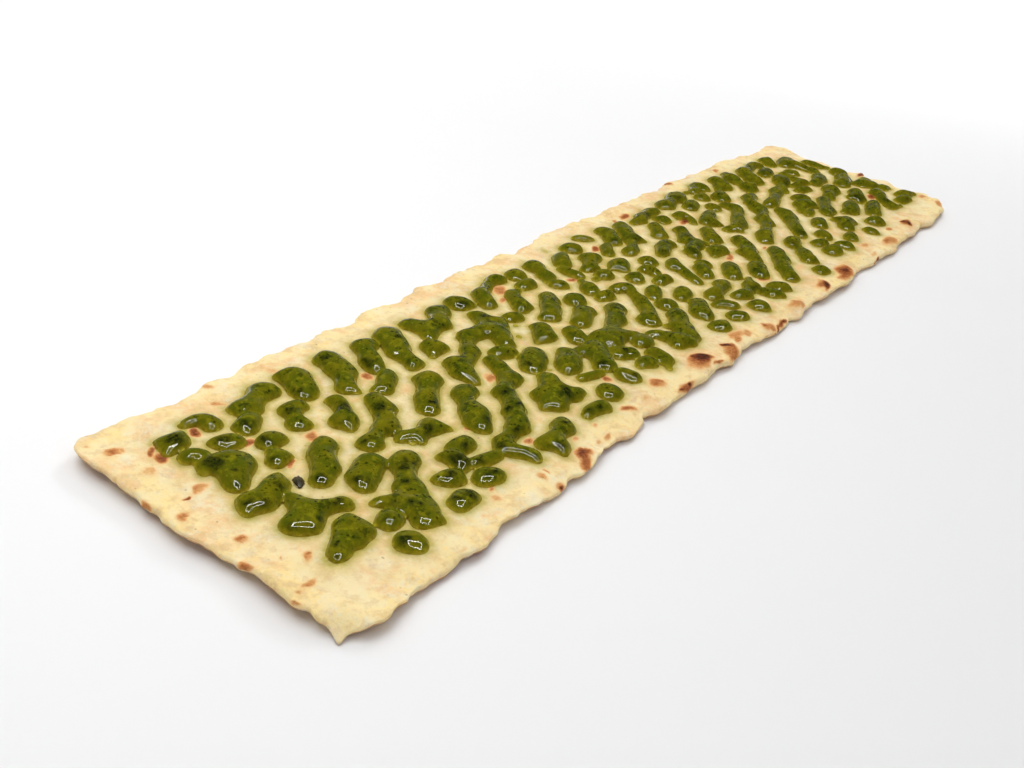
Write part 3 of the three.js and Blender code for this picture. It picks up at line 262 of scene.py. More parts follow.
# How far each rim is curled up off the table, at the same steps.
LIFT_FRONT = [float(v) for v in """
2.75 2.60 2.26 1.88 1.57 1.34 1.17 0.98 0.71 0.44 0.29 0.39 0.57 0.80 1.10 1.41 1.61 1.56 1.30 1.02 0.83 0.84 1.03
1.31 1.58 1.81 1.96 2.01 1.90 1.72 1.63 1.60 1.40 0.95 0.50 0.27 0.24 0.33 0.48 0.63 0.77 0.93 1.08 1.11 0.95 0.85
1.04 1.41 1.65 1.61 1.35 0.98 0.67 0.55 0.56 0.59 0.59 0.58 0.55 0.47 0.36 0.24 0.18 0.21 0.39 0.66 0.95 1.22 1.50
1.76 1.79 1.45 0.93 0.45 0.16 0.16 0.39 0.62 0.73 0.82 0.95 1.06 1.09 1.04 0.97 0.91 0.90 0.94 1.00 1.04 1.01 0.89
0.72 0.59 0.60 0.80 1.14 1.37 1.30 1.10 1.01 1.06 1.17 1.26 1.25 1.11 0.95 0.85 0.81 0.82 0.81 0.71 0.53 0.33 0.15
0.10 0.10 0.10 0.10 0.11 0.27 0.55 0.99 1.53 1.84 1.67 1.34 1.23 1.29 1.23 1.04 0.97 1.16 1.45 1.68 1.85 1.97 2.04
2.06 2.01 1.91 1.79 1.73 1.77 1.74 1.49 1.14 0.94 1.01 1.29 1.67 1.90 1.80 1.42 0.89 0.34 0.10 0.10 0.10 0.10 0.10
0.10 0.43 0.71 0.83 0.81 0.71 0.61 0.60 0.68 0.81 0.92 0.88 0.77 0.73 0.80 0.92 1.06 1.22 1.38 1.45 1.36 1.17 1.05
1.07 1.24 1.47 1.56 1.33 0.97 0.73 0.63 0.62 0.64 0.63 0.58 0.54 0.52 0.46 0.30 0.18 0.32 0.71 1.07 1.24 1.31 1.38
1.49 1.62 1.74 1.76 1.64 1.36 0.98 0.61
""".split()]
LIFT_BACK = [float(v) for v in """
2.18 2.18 2.02 1.72 1.35 1.00 0.75 0.65 0.64 0.59 0.48 0.36 0.30 0.23 0.08 0.05 0.05 0.05 0.05 0.22 0.55 0.77 0.82
0.80 0.91 1.13 1.28 1.24 1.09 1.01 1.02 1.05 1.04 0.98 0.86 0.71 0.59 0.54 0.53 0.51 0.50 0.53 0.63 0.75 0.82 0.81
0.75 0.66 0.61 0.66 0.80 1.00 1.20 1.40 1.59 1.75 1.78 1.62 1.34 1.02 0.75 0.58 0.56 0.62 0.64 0.61 0.56 0.54 0.56
0.65 0.77 0.86 0.86 0.78 0.63 0.45 0.26 0.11 0.05 0.05 0.05 0.10 0.13 0.15 0.20 0.27 0.33 0.37 0.34 0.23 0.05 0.05
0.05 0.05 0.05 0.05 0.05 0.05 0.05 0.05 0.05 0.09 0.20 0.24 0.25 0.28 0.39 0.61 0.81 0.88 0.79 0.62 0.46 0.31 0.12
0.05 0.05 0.05 0.10 0.17 0.15 0.13 0.18 0.27 0.36 0.41 0.43 0.41 0.40 0.43 0.48 0.51 0.47 0.45 0.57 0.82 1.05 1.18
1.25 1.37 1.51 1.58 1.48 1.25 0.98 0.74 0.60 0.59 0.66 0.69 0.68 0.73 0.90 1.04 0.99 0.76 0.51 0.40 0.38 0.41 0.44
0.47 0.51 0.58 0.70 0.81 0.79 0.55 0.26 0.11 0.17 0.35 0.56 0.72 0.79 0.76 0.68 0.61 0.58 0.61 0.69 0.74 0.71 0.62
0.53 0.50 0.59 0.83 1.11 1.26 1.22 1.00 0.65 0.30 0.10 0.06 0.09 0.09 0.06 0.05 0.05 0.05 0.05 0.05 0.05 0.23 0.49
0.66 0.72 0.64 0.47 0.32 0.27 0.32 0.41 0.51 0.60 0.65 0.69 0.73 0.80 0.88 0.95
""".split()]
LIFT_LEFT = [float(v) for v in """
2.74 2.85 2.81 2.83 2.94 3.08 3.20 3.23 3.13 2.93 2.68 2.43 2.24 2.15 2.16 2.25 2.39 2.49 2.60 2.69 2.75 2.75 2.69
2.57 2.43 2.28 2.16 2.13 2.13 2.17 2.23 2.33 2.44 2.55 2.66 2.76 2.83 2.90 2.95 2.99 3.02 3.04 3.05
""".split()]
LIFT_RIGHT = [float(v) for v in """
1.32 1.29 1.21 1.08 0.91 0.71 0.52 0.37 0.27 0.23 0.24 0.29 0.36 0.43 0.49 0.52 0.52 0.47 0.38 0.28 0.21 0.22 0.32
0.48 0.65 0.79 0.85 0.83 0.75 0.65 0.56 0.50 0.47 0.45 0.43 0.41 0.37 0.34 0.32 0.32 0.36 0.42 0.50
""".split()]

# Toasted places: x, y, half length, half width, turn in degrees, how dark.
SPOTS = np.array([float(v) for v in """
-119.4 -49.6 2.9 1.9 174 0.67   -118.9 -48.6 1.5 1.3 27 0.68   -122.0 -52.0 3.2 1.6 24 0.51   -137.1 -54.0 1.2 0.7 18 0.78
-136.8 -53.4 1.9 1.2 7 0.38   -138.3 -47.7 1.7 1.3 174 0.33   -135.0 -47.8 1.2 0.6 88 0.50   -86.4 -45.2 3.2 1.9 158 0.53
-86.6 -43.7 1.2 1.1 41 0.38   -64.6 -43.6 3.4 2.8 168 0.44   -63.3 -43.7 2.1 1.4 153 0.52   -104.4 -48.8 2.1 1.2 25 0.34
-109.1 -48.7 2.6 0.9 27 0.24   -115.1 -43.5 1.6 1.1 22 0.31   -103.0 -43.1 1.2 0.9 8 0.29   -126.7 -34.7 1.6 1.3 6 0.45
-106.5 -4.7 2.7 1.6 30 0.42   -76.3 -30.4 2.1 1.4 10 0.50   -76.2 -46.4 1.8 1.0 23 0.20   -57.3 -50.9 4.6 1.2 0 0.60
-54.3 -50.8 1.0 0.7 175 0.85   -60.1 -50.8 1.4 0.5 0 0.79   -157.1 -44.2 1.8 1.4 143 0.24   -153.3 -40.4 1.3 1.0 33 0.37
-141.8 -37.0 1.6 1.1 156 0.07   -136.4 -18.2 1.6 1.2 25 0.46   -166.1 -48.0 1.4 0.9 151 0.19   -181.8 -52.9 1.8 0.5 158 0.17
-39.1 -45.6 6.4 3.7 11 0.52   -37.5 -45.7 4.3 2.8 163 0.86   -35.3 -45.4 3.7 2.5 152 0.96   -38.5 -43.2 1.8 1.2 33 0.72
-21.4 -49.1 4.9 3.0 12 0.42   -19.2 -45.8 2.0 1.4 99 1.01   -18.2 -47.8 2.3 1.3 35 0.58   -24.1 -51.7 3.8 1.6 5 0.42
-8.1 -45.4 4.7 2.4 6 0.35   -3.0 -46.5 3.3 1.5 8 0.31   -11.5 -48.0 2.3 1.3 8 0.40   9.9 -49.5 4.4 1.9 0 0.37
9.6 -48.3 2.2 0.9 19 0.62   10.2 -50.6 2.2 0.9 9 0.40   17.5 -51.6 4.9 0.9 3 0.58   20.6 -51.4 2.4 0.6 4 0.84
12.5 -52.2 2.8 0.5 6 1.07   37.9 -49.3 5.9 2.5 5 0.38   40.0 -47.6 2.4 1.5 154 0.49   39.1 -51.3 4.1 0.9 19 0.33
64.6 -47.5 4.6 2.2 14 0.49   65.9 -49.2 4.8 1.7 18 0.85   66.3 -49.5 3.8 1.2 19 0.95   87.6 -49.4 9.1 3.1 18 0.60
88.8 -49.3 3.8 1.9 10 0.69   88.4 -50.0 2.5 1.2 11 0.92   82.7 -50.4 5.5 2.0 14 0.45   50.0 -28.6 4.0 2.2 4 0.64
50.0 -27.7 1.9 0.9 12 0.72   57.5 -7.8 2.7 1.1 18 0.44   -33.5 -50.9 2.7 0.7 176 0.52   116.4 -53.9 3.7 0.7 7 0.67
174.1 -46.4 4.4 2.8 4 0.59   173.7 -48.0 2.7 1.6 25 0.89   174.1 -44.7 2.5 1.4 10 0.84   142.6 -49.3 6.3 3.0 0 0.36
140.5 -48.4 3.0 1.6 9 0.48   146.1 -48.9 2.6 1.3 160 0.29   119.1 -50.5 4.2 1.3 3 0.21   157.3 -43.8 2.3 1.3 3 0.42
126.8 -43.0 3.6 1.7 9 0.30   226.3 -2.1 7.5 1.1 3 0.75   222.9 -37.2 2.6 1.8 153 0.33   219.7 -47.9 5.4 1.8 12 0.33
192.8 -21.2 4.2 2.1 14 0.64   80.6 -13.8 1.9 0.9 17 0.53   -212.8 32.6 2.6 1.1 46 0.53   -225.1 3.7 2.1 1.2 36 0.40
-224.2 4.0 1.1 0.6 31 0.45   -219.8 -11.6 2.0 1.5 18 0.41   -219.2 -11.5 1.0 0.7 9 0.57   -212.5 -27.8 2.3 1.9 16 0.33
-211.4 -27.4 1.3 0.7 5 0.56   -214.0 -27.6 0.9 0.5 41 0.48   -219.3 -35.3 2.4 1.1 9 0.35   -223.9 -37.0 1.2 0.8 36 0.36
-187.4 4.2 1.5 1.1 42 0.55   -213.9 10.9 3.4 1.7 17 0.33   -215.4 10.7 1.7 0.8 60 0.41   -219.6 24.9 2.8 2.0 43 0.21
-210.6 -46.8 1.1 0.7 43 0.11   -218.2 -24.3 1.0 0.6 45 0.25   -197.9 -46.0 0.6 0.5 158 0.44   -201.8 -45.5 2.0 1.5 143 0.04
-218.3 37.4 1.6 0.8 52 0.28   -220.0 8.5 0.7 0.5 48 1.15   -218.6 9.3 1.1 0.5 35 0.85   -220.2 15.3 0.5 0.5 49 1.08
-226.9 -20.2 2.0 0.9 115 0.45   -227.3 -39.1 1.4 0.6 116 0.36   -228.6 13.8 2.6 0.8 86 0.39   -177.9 49.3 1.7 1.5 57 0.29
-198.3 32.3 2.3 1.6 46 0.65   -189.7 18.7 1.8 1.4 47 0.58   -220.8 38.5 3.0 1.6 9 0.42   -220.6 38.6 1.6 0.9 13 0.55
-173.6 10.1 3.0 1.7 26 0.43   -188.4 4.0 1.7 1.4 37 0.48   -213.2 28.4 2.3 1.4 66 0.58   -182.2 39.9 2.0 1.2 145 0.31
-158.6 48.5 1.3 1.0 164 0.22   -157.6 43.9 2.9 2.0 112 0.20   -139.6 46.7 1.3 1.2 123 0.13   -224.3 44.6 0.9 0.8 54 0.22
-52.0 33.7 4.5 2.3 31 0.40   -57.8 28.3 2.3 1.4 22 0.38   -91.2 49.2 4.0 2.6 166 0.12   -123.4 48.4 2.1 1.5 152 0.14
-137.4 22.8 2.4 2.0 173 0.50   -105.8 -3.0 2.3 1.9 10 0.22   56.0 43.9 3.2 2.1 11 0.57   113.7 54.4 3.6 1.9 17 0.54
150.8 48.3 3.0 1.5 19 0.40   72.9 22.2 3.3 1.9 12 0.70   12.5 32.4 2.3 1.4 21 0.60   55.5 -9.4 4.1 1.3 23 0.45
74.8 -33.5 3.9 1.7 19 0.12   67.4 53.6 2.9 1.8 17 0.16   -18.9 22.5 2.2 1.7 143 0.48   -4.4 46.2 2.3 1.5 12 0.04
47.0 43.0 2.8 1.3 24 0.42   49.6 49.8 2.7 1.3 27 0.04
""".split()]).reshape(-1, 6)

# Blisters of the skin: x, y, half length, half width, turn in degrees, rise.
BLISTERS = np.array([float(v) for v in """
-88.0 -46.2 5.5 3.3 3 0.75   -120.2 -50.3 3.6 2.5 5 0.60   -39.2 -46.1 7.3 4.1 14 1.10   -21.1 -49.0 6.2 3.5 12 0.90
-58.4 -51.1 5.5 1.8 4 0.50   -65.3 -44.0 4.4 3.1 0 0.50   8.7 -50.3 5.5 2.3 177 0.60   36.7 -50.0 6.5 2.6 1 0.90
64.6 -49.5 5.4 2.4 15 0.60   87.3 -49.8 10.1 3.8 17 0.95   142.6 -49.3 7.5 3.4 6 0.75   174.0 -46.8 5.5 2.8 9 0.60
116.7 -51.4 5.4 1.9 175 0.30   -138.8 -48.2 3.8 2.8 15 0.50   -153.7 -50.8 4.8 2.5 178 0.45   -6.6 -46.6 5.6 2.9 1 0.40
-215.1 11.5 4.4 2.7 24 0.70   -219.9 24.5 3.2 2.3 44 0.60   -212.6 -27.8 2.5 2.1 10 0.35   -219.8 -11.8 2.1 1.6 22 0.20
-204.2 -47.0 2.7 2.3 175 0.30   -168.6 -48.3 3.2 2.2 2 0.40   -131.8 -49.4 3.4 1.9 7 0.35   -151.1 -30.8 4.0 2.4 166 0.40
-201.6 -55.2 3.7 2.3 4 0.30   -184.6 -54.3 3.6 1.8 176 0.30   -103.0 -47.3 4.8 2.7 11 0.40   -217.2 -46.3 3.1 2.3 24 0.25
-220.2 -1.8 3.6 2.5 81 0.25   -225.6 -27.7 3.2 2.2 92 0.30   -220.3 36.1 3.7 3.1 45 0.30   -184.8 45.8 5.1 3.7 27 0.30
-156.9 45.8 3.7 3.1 149 0.35   -94.0 46.8 6.4 3.1 178 0.35   -19.8 47.8 6.9 3.7 3 0.30   56.1 44.0 3.4 2.1 11 0.40
111.8 53.3 5.1 2.4 22 0.40   226.1 -2.4 9.4 2.1 7 0.50   215.6 -47.2 11.1 3.7 7 0.40   163.4 -54.8 8.4 3.0 178 0.30
-77.9 -44.5 5.0 2.3 0 0.35   -39.4 -52.6 5.9 1.9 8 0.40
""".split()]).reshape(-1, 6)

# --------------------------------------------------------------------------- noise


def spline_weights(f):
    return ((1 - f) ** 3 / 6, (3 * f**3 - 6 * f**2 + 4) / 6, (-3 * f**3 + 3 * f**2 + 3 * f + 1) / 6, f**3 / 6)


def noise1(x, size, seed):
    """Smooth one-dimensional noise of about unit spread."""
    table = np.random.RandomState(seed).standard_normal(512)
    u = np.asarray(x, float) / size + 200
    i = np.floor(u).astype(int)
    w = spline_weights(u - i)
    return sum(w[k] * table[(i + k - 1) % 512] for k in range(4)) / 0.69


def noise2(x, y, size, seed):
    """Smooth two-dimensional noise of about unit spread, with features about `size` across."""
    table = np.random.RandomState(seed).standard_normal((256, 256))
    u = np.asarray(x, float) / size + 1000
    v = np.asarray(y, float) / size + 1000
    i, j = np.floor(u).astype(int), np.floor(v).astype(int)
    a, b = spline_weights(u - i), spline_weights(v - j)
    out = 0.0
    for m in range(4):
        row = (i + m) % 256
        for n in range(4):
            out = out + a[m] * b[n] * table[row, (j + n) % 256]
    return out / 0.48


def smooth(t):
    t = np.clip(t, 0, 1)
    return t * t * (3 - 2 * t)


def along(table, start, q):
    return np.interp(q, start + STEP * np.arange(len(table)), table)


# --------------------------------------------------------------------------- the bread's shape as functions

EDGE_THICK, MIDDLE_THICK = 2.6, 3.75


def curl(t):
    return np.clip(t, 0, 1) ** 1.6


def underside(x, y):
    """Height of the bread's underside: flat on the table inside, curled up at the rims."""
    f = along(LIFT_FRONT, FRONT_X0, x) * curl(1 - (y - along(FRONT, FRONT_X0, x)) / 15.0)
    b = along(LIFT_BACK, BACK_X0, x) * curl(1 - (along(BACK, BACK_X0, x) - y) / 13.0)
    l = along(LIFT_LEFT, LEFT_Y0, y) * curl(1 - (x - along(LEFT, LEFT_Y0, y)) / 19.0)
    r = along(LIFT_RIGHT, RIGHT_Y0, y) * curl(1 - (along(RIGHT, RIGHT_Y0, y) - x) / 12.0)
    rise = (f**3 + b**3 + l**3 + r**3) ** (1 / 3)
    away = np.hypot(x - NIB[0], y - NIB[1])
    rise = rise * smooth(away / 9.0)
    return rise + 0.16 * np.clip(noise2(x, y, 21, 3) + 0.2, 0, 2) * smooth((y + 50) / 14) * smooth((50 - y) / 14)


def blisters(x, y):
    out = np.zeros_like(x, dtype=float)
    for sx, sy, a, b, turn, rise in BLISTERS:
        near = np.hypot(x - sx, y - sy) < 2.2 * max(a, b)
        if not near.any():
            continue
        c, s = math.cos(math.radians(turn)), math.sin(math.radians(turn))
        u = ((x[near] - sx) * c + (y[near] - sy) * s) / (1.25 * a)
        v = (-(x[near] - sx) * s + (y[near] - sy) * c) / (1.25 * b)
        out[near] += rise * smooth(1.25 * (1 - np.sqrt(u * u + v * v)))
    return out


def relief(x, y):
    """Everything that stands proud of an even sheet on the bread's top."""
    x, y = np.asarray(x, float), np.asarray(y, float)
    wx = x + 2.5 * noise2(x, y, 14, 41)
    wy = y + 2.5 * noise2(x, y, 14, 42)
    out = 0.24 * noise2(wx, wy, 24, 11) + 0.22 * noise2(wx, wy, 11, 12) + 0.15 * noise2(wx, wy, 5.2, 13)
    out += 0.085 * noise2(x, y, 2.6, 14)
    # slack skin gathers in a few long low wrinkles
    ridge = 1 - np.abs(noise2(wx * 0.8 + wy * 0.35, wy - 0.2 * wx, 17, 15))
    out += 0.24 * np.clip(ridge - 0.72, 0, 1) / 0.28 * smooth(noise2(x, y, 30, 16) + 0.2)
    # pores: small pits
    pits = noise2(x, y, 1.9, 17)
    out -= 0.12 * np.clip(pits - 1.15, 0, 1.2)
    return out + blisters(x, y)


def thickness(x, y, d):
    """Sheet thickness at a distance d from the rim, before the rim's thinning."""
    t = EDGE_THICK + (MIDDLE_THICK - EDGE_THICK) * (1 - np.exp(-np.clip(d, 0, None) / 7.0))
    t = t + 0.16 * noise2(x, y, 19, 21)
    away = np.hypot(x - NIB[0], y - NIB[1])
    return t * (0.55 + 0.45 * smooth(away / 8.0))


def thinned(d):
    """Share of the full thickness left at a distance d from the rim: dough stretched thin at its edge."""
    return 1 - 0.44 * np.exp(-np.clip(d, 0, None) / 1.1)


def rim_distance(x, y):
    """About how far a point inside the bread is from the rim."""
    f = y - along(FRONT, FRONT_X0, x)
    b = along(BACK, BACK_X0, x) - y
    l = x - along(LEFT, LEFT_Y0, y)
    r = along(RIGHT, RIGHT_Y0, y) - x
    return np.minimum(np.minimum(f, b), np.minimum(l, r))


def bread_top(x, y):
    x, y = np.asarray(x, float), np.asarray(y, float)
    d = rim_distance(x, y)
    return underside(x, y) + thickness(x, y, d) * (0.5 + 0.5 * thinned(d)) + relief(x, y)


def toast_at(x, y):
    """How toasted the top is, 0 to 1."""
    wx = x + 0.42 * noise2(x, y, 2.2, 51) + 0.35 * noise2(x, y, 5, 52)
    wy = y + 0.42 * noise2(x, y, 2.2, 53) + 0.35 * noise2(x, y, 5, 54)
    toast = np.zeros_like(x)
    for sx, sy, a, b, turn, amount in SPOTS:
        near = np.hypot(x - sx, y - sy) < 1.7 * max(a, b) + 2
        if not near.any():
            continue
        c, s = math.cos(math.radians(turn)), math.sin(math.radians(turn))
        dx, dy = wx[near] - sx, wy[near] - sy
        q = np.hypot((dx * c + dy * s) / a, (-dx * s + dy * c) / b)
        toast[near] = np.maximum(toast[near], amount * smooth((1.50 - q) / 1.15))
    return toast


# --------------------------------------------------------------------------- mesh helpers


def make_piece(name, verts_mm, faces, attributes=None):
    """A smooth-shaded mesh object from an (n, 3) array in millimetres and an (m, 3) array of triangles or (m, 4) of quads,
    or a list of such arrays."""
    if not isinstance(faces, (list, tuple)):
        faces = [faces]
    loops = np.concatenate([f.reshape(-1) for f in faces]).astype(np.int32)
    sizes = np.concatenate([np.full(len(f), f.shape[1], np.int32) for f in faces])
    starts = np.concatenate([[0], np.cumsum(sizes)[:-1]]).astype(np.int32)
    me = bpy.data.meshes.new(name)
    me.vertices.add(len(verts_mm))
    me.vertices.foreach_set("co", (np.asarray(verts_mm, np.float64) * MM).astype(np.float32).ravel())
    me.loops.add(len(loops))
    me.loops.foreach_set("vertex_index", loops)
    me.polygons.add(len(sizes))
    me.polygons.foreach_set("loop_start", starts)
    me.update(calc_edges=True)
    me.validate()
    me.shade_smooth()
    for key, values in (attributes or {}).items():
        layer = me.attributes.new(key, "FLOAT", "POINT")
        layer.data.foreach_set("value", np.asarray(values, np.float32))
    ob = bpy.data.objects.new(name, me)
    bpy.context.scene.collection.objects.link(ob)
    return ob


def report_closed(name, faces):
    tri = [f if f.shape[1] == 3 else np.concatenate([f[:, [0, 1, 2]], f[:, [0, 2, 3]]]) for f in faces]
    t = np.concatenate(tri)
    e = np.concatenate([t[:, [0, 1]], t[:, [1, 2]], t[:, [2, 0]]])
    key = np.sort(e, axis=1)
    _, n = np.unique(key[:, 0].astype(np.int64) * 10**7 + key[:, 1], return_counts=True)
    print(name, "triangles", len(t), "edges not shared by two", int((n != 2).sum()))


# --------------------------------------------------------------------------- the bread


def densify(points, step=0.25):
    p = np.array(points, float)
    seg = np.hypot(*(p[1:] - p[:-1]).T)
    s = np.concatenate([[0], np.cumsum(seg)])
    n = max(int(s[-1] / step), 2)
    q = np.linspace(0, s[-1], n + 1)
    out = np.stack([np.interp(q, s, p[:, 0]), np.interp(q, s, p[:, 1])], 1)
    for _ in range(5):
        out[1:-1] = 0.25 * out[:-2] + 0.5 * out[1:-1] + 0.25 * out[2:]
    return out


def roughen(p, seed, axis):
    """Torn-dough irregularity too small for the tables."""
    tangent = np.gradient(p, axis=0)
    tangent /= np.maximum(np.hypot(tangent[:, 0], tangent[:, 1]), 1e-9)[:, None]
    normal = np.stack([-tangent[:, 1], tangent[:, 0]], 1)
    q = p[:, axis]
    push = 0.24 * noise1(q, 2.6, seed) + 0.15 * noise1(q, 1.2, seed + 1)
    fade = np.minimum(np.arange(len(p)), np.arange(len(p))[::-1]) / 12.0
    return p + normal * (push * np.clip(fade, 0, 1))[:, None]


def table_points(table, start, axis):
    q = start + STEP * np.arange(len(table))
    return [(a, b) if axis == 0 else (b, a) for a, b in zip(q.tolist(), table)]


front_side = roughen(densify([NIB] + NEAR_CORNER_FRONT + table_points(FRONT, FRONT_X0, 0) + FAR_FRONT[::-1] + [FAR_FRONT_CORNER]), 61, 0)
back_side = roughen(densify([BACK_LEFT_CORNER] + BACK_LEFT_BACK + table_points(BACK, BACK_X0, 0) + FAR_BACK + [FAR_BACK_CORNER]), 63, 0)
left_side = roughen(densify([NIB] + NEAR_CORNER_LEFT[::-1] + table_points(LEFT, LEFT_Y0, 1) + BACK_LEFT + [BACK_LEFT_CORNER]), 65, 1)
right_side = roughen(densify([FAR_FRONT_CORNER] + FAR_FRONT_RIGHT[::-1] + table_points(RIGHT, RIGHT_Y0, 1) + FAR_BACK_RIGHT[::-1] + [FAR_BACK_CORNER]), 67, 1)

XI0, XI1, YI0, YI1 = -219.5, 216.5, -46.0, 44.5
NX, NY = 540, 114
stretch = np.linspace(0, 1, NX + 1)
xi = XI0 + (XI1 - XI0) * (stretch * 0.80 + 0.20 * stretch**2)
yi = np.linspace(YI0, YI1, NY + 1)


def matched(side, inner, axis):
    """A point of the side for each inner grid line: the same place along it, drawn out towards the corners."""
    d = np.gradient(side, axis=0)
    ds = np.hypot(d[:, 0], d[:, 1])
    q = np.cumsum(np.maximum(d[:, axis], 0.12 * ds))
    q = (q - q[0]) / (q[-1] - q[0])
    lo, hi = side[0, axis], side[-1, axis]
    q = lo + (hi - lo) * q
    want = inner + (lo - inner[0]) * np.exp(-(inner - inner[0]) / 12.0) + (hi - inner[-1]) * np.exp(-(inner[-1] - inner) / 12.0)
    want[0], want[-1] = lo, hi
    return np.stack([np.interp(want, q, side[:, 0]), np.interp(want, q, side[:, 1])], 1)


rim_front, rim_back = matched(front_side, xi, 0), matched(back_side, xi, 0)
rim_left, rim_right = matched(left_side, yi, 1), matched(right_side, yi, 1)
# once round, anticlockwise from the nib: front, right, back, left
rim = np.concatenate([rim_front[:-1], rim_right[:-1], rim_back[::-1][:-1], rim_left[::-1][:-1]])
inner = np.concatenate([
    np.stack([xi[:-1], np.full(NX, YI0)], 1), np.stack([np.full(NY, XI1), yi[:-1]], 1),
    np.stack([xi[::-1][:-1], np.full(NX, YI1)], 1), np.stack([np.full(NY, XI0), yi[::-1][:-1]], 1)])
NR = len(rim)
dense_rim = np.concatenate([front_side[:-1], right_side[:-1], back_side[::-1][:-1], left_side[::-1][:-1]])


def to_rim(p):
    """True distance to the outline, for points near it."""
    a = dense_rim
    b = np.roll(a, -1, axis=0)
    out = np.empty(len(p))
    for k in range(0, len(p), 400):
        q = p[k:k + 400]
        lo, hi = q.min(0) - 13, q.max(0) + 13
        m = (a[:, 0] > lo[0]) & (a[:, 0] < hi[0]) & (a[:, 1] > lo[1]) & (a[:, 1] < hi[1])
        A, E = a[m], (b - a)[m]
        w = q[:, None] - A[None]
        t = np.clip((w * E).sum(-1) / np.maximum((E * E).sum(-1), 1e-9), 0, 1)
        out[k:k + 400] = np.sqrt(((w - t[..., None] * E) ** 2).sum(-1)).min(1)
    return out


reach = inner - rim
span = np.hypot(reach[:, 0], reach[:, 1])
ROUND = 0.45
turns = [0, 14, 32, 52, 76]
steps = [ROUND * (1 - math.cos(math.radians(t))) for t in turns]
ring_xy = []
for s in steps:
    ring_xy.append(rim + reach * (s / span)[:, None])
for k in (0.03, 0.075, 0.13, 0.21, 0.32, 0.46, 0.62, 0.80):
    s = steps[-1] + (span - steps[-1]) * k
    ring_xy.append(rim + reach * (s / span)[:, None])
band = np.concatenate(ring_xy)
band_d = to_rim(band)
band_d[:NR] = 0


def round_off(d, r=ROUND):
    q = 1 - np.clip(d / r, 0, 1)
    return np.sqrt(np.clip(1 - q * q, 0, 1))


bx, by = band[:, 0], band[:, 1]
band_t = thickness(bx, by, band_d)
mid = underside(bx, by) + band_t / 2
band_top = mid + (band_t / 2 * thinned(band_d) + relief(bx, by) * smooth(0.3 + band_d / 1.6)) * round_off(band_d)
gx, gy = np.meshgrid(xi, yi)
grid_top = bread_top(gx.ravel(), gy.ravel())
# the true distance and the quick one agree well inside; blend them over the inner part of the band
quick = bread_top(bx, by)
w = smooth((band_d - 2.0) / 3.0)
band_top = band_top * (1 - w) + quick * w

# the underside: rings in from the rim, then a coarser sheet
low_steps = [steps[1], steps[2], steps[3], 0.7, 1.6, 3.2]
low_xy = [rim + reach * (np.minimum(s / span, 0.8))[:, None] for s in low_steps] + [inner]
low = np.concatenate(low_xy)
low_d = to_rim(low)
low_t = thickness(low[:, 0], low[:, 1], low_d)
low_z = underside(low[:, 0], low[:, 1]) + low_t / 2 * (1 - thinned(low_d) * round_off(low_d))
cx, cy = np.meshgrid(np.arange(XI0 + 1.6, XI1 - 1.2, 2.6), np.arange(YI0 + 1.6, YI1 - 1.2, 2.6))
shake = np.random.RandomState(7)
cx = cx + shake.uniform(-0.3, 0.3, cx.shape)
cy = cy + shake.uniform(-0.3, 0.3, cy.shape)
core = np.stack([cx.ravel(), cy.ravel()], 1)
core_z = underside(core[:, 0], core[:, 1])

n_band = len(band)
grid_id = np.empty((NY + 1, NX + 1), np.int64)
grid_id[:] = n_band + np.arange((NY + 1) * (NX + 1)).reshape(NY + 1, NX + 1)
verts = [np.column_stack([band, band_top]), np.column_stack([gx.ravel(), gy.ravel(), grid_top])]
n_top = n_band + (NX + 1) * (NY + 1)
verts.append(np.column_stack([low, low_z]))
verts.append(np.column_stack([core, core_z]))
verts = np.concatenate(verts)

quads = []
turn = np.roll(np.arange(NR), -1)
ring = lambda k: k * NR + np.arange(NR)
for k in range(len(ring_xy) - 1):
    a, b = ring(k), ring(k + 1)
    quads.append(np.stack([a, a[turn], b[turn], b], 1))
inner_ids = np.concatenate([grid_id[0, :-1], grid_id[:-1, -1], grid_id[-1, ::-1][:-1], grid_id[::-1, 0][:-1]])
a = ring(len(ring_xy) - 1)
quads.append(np.stack([a, a[turn], inner_ids[turn], inner_ids], 1))
quads.append(np.stack([grid_id[:-1, :-1], grid_id[:-1, 1:], grid_id[1:, 1:], grid_id[1:, :-1]], -1).reshape(-1, 4))
lows = [ring(0)] + [n_top + k * NR + np.arange(NR) for k in range(len(low_xy))]
for a, b in zip(lows[:-1], lows[1:]):
    quads.append(np.stack([b, b[turn], a[turn], a], 1))
loop = [Vector(p) for p in inner.tolist()]
pts = loop + [Vector(p) for p in core.tolist()]
out = delaunay_2d_cdt(pts, [], [list(range(NR))], 1, 1e-6)
sheet = np.array([f for f in out[2] if len(f) == 3], np.int64)
assert len(out[0]) == len(pts)
ids = np.concatenate([lows[-1], n_top + len(low) + np.arange(len(core))])
sheet = ids[sheet]
p0, p1, p2 = verts[sheet[:, 0], :2], verts[sheet[:, 1], :2], verts[sheet[:, 2], :2]
area = (p1[:, 0] - p0[:, 0]) * (p2[:, 1] - p0[:, 1]) - (p1[:, 1] - p0[:, 1]) * (p2[:, 0] - p0[:, 0])
sheet[area > 0] = sheet[area > 0][:, ::-1]
quads = np.concatenate(quads)
verts[:, 2] -= min(verts[:, 2].min(), 0)
report_closed("bread", [quads, sheet])
bread_verts, bread_faces = verts, [quads, sheet]

# --------------------------------------------------------------------------- pesto: fields

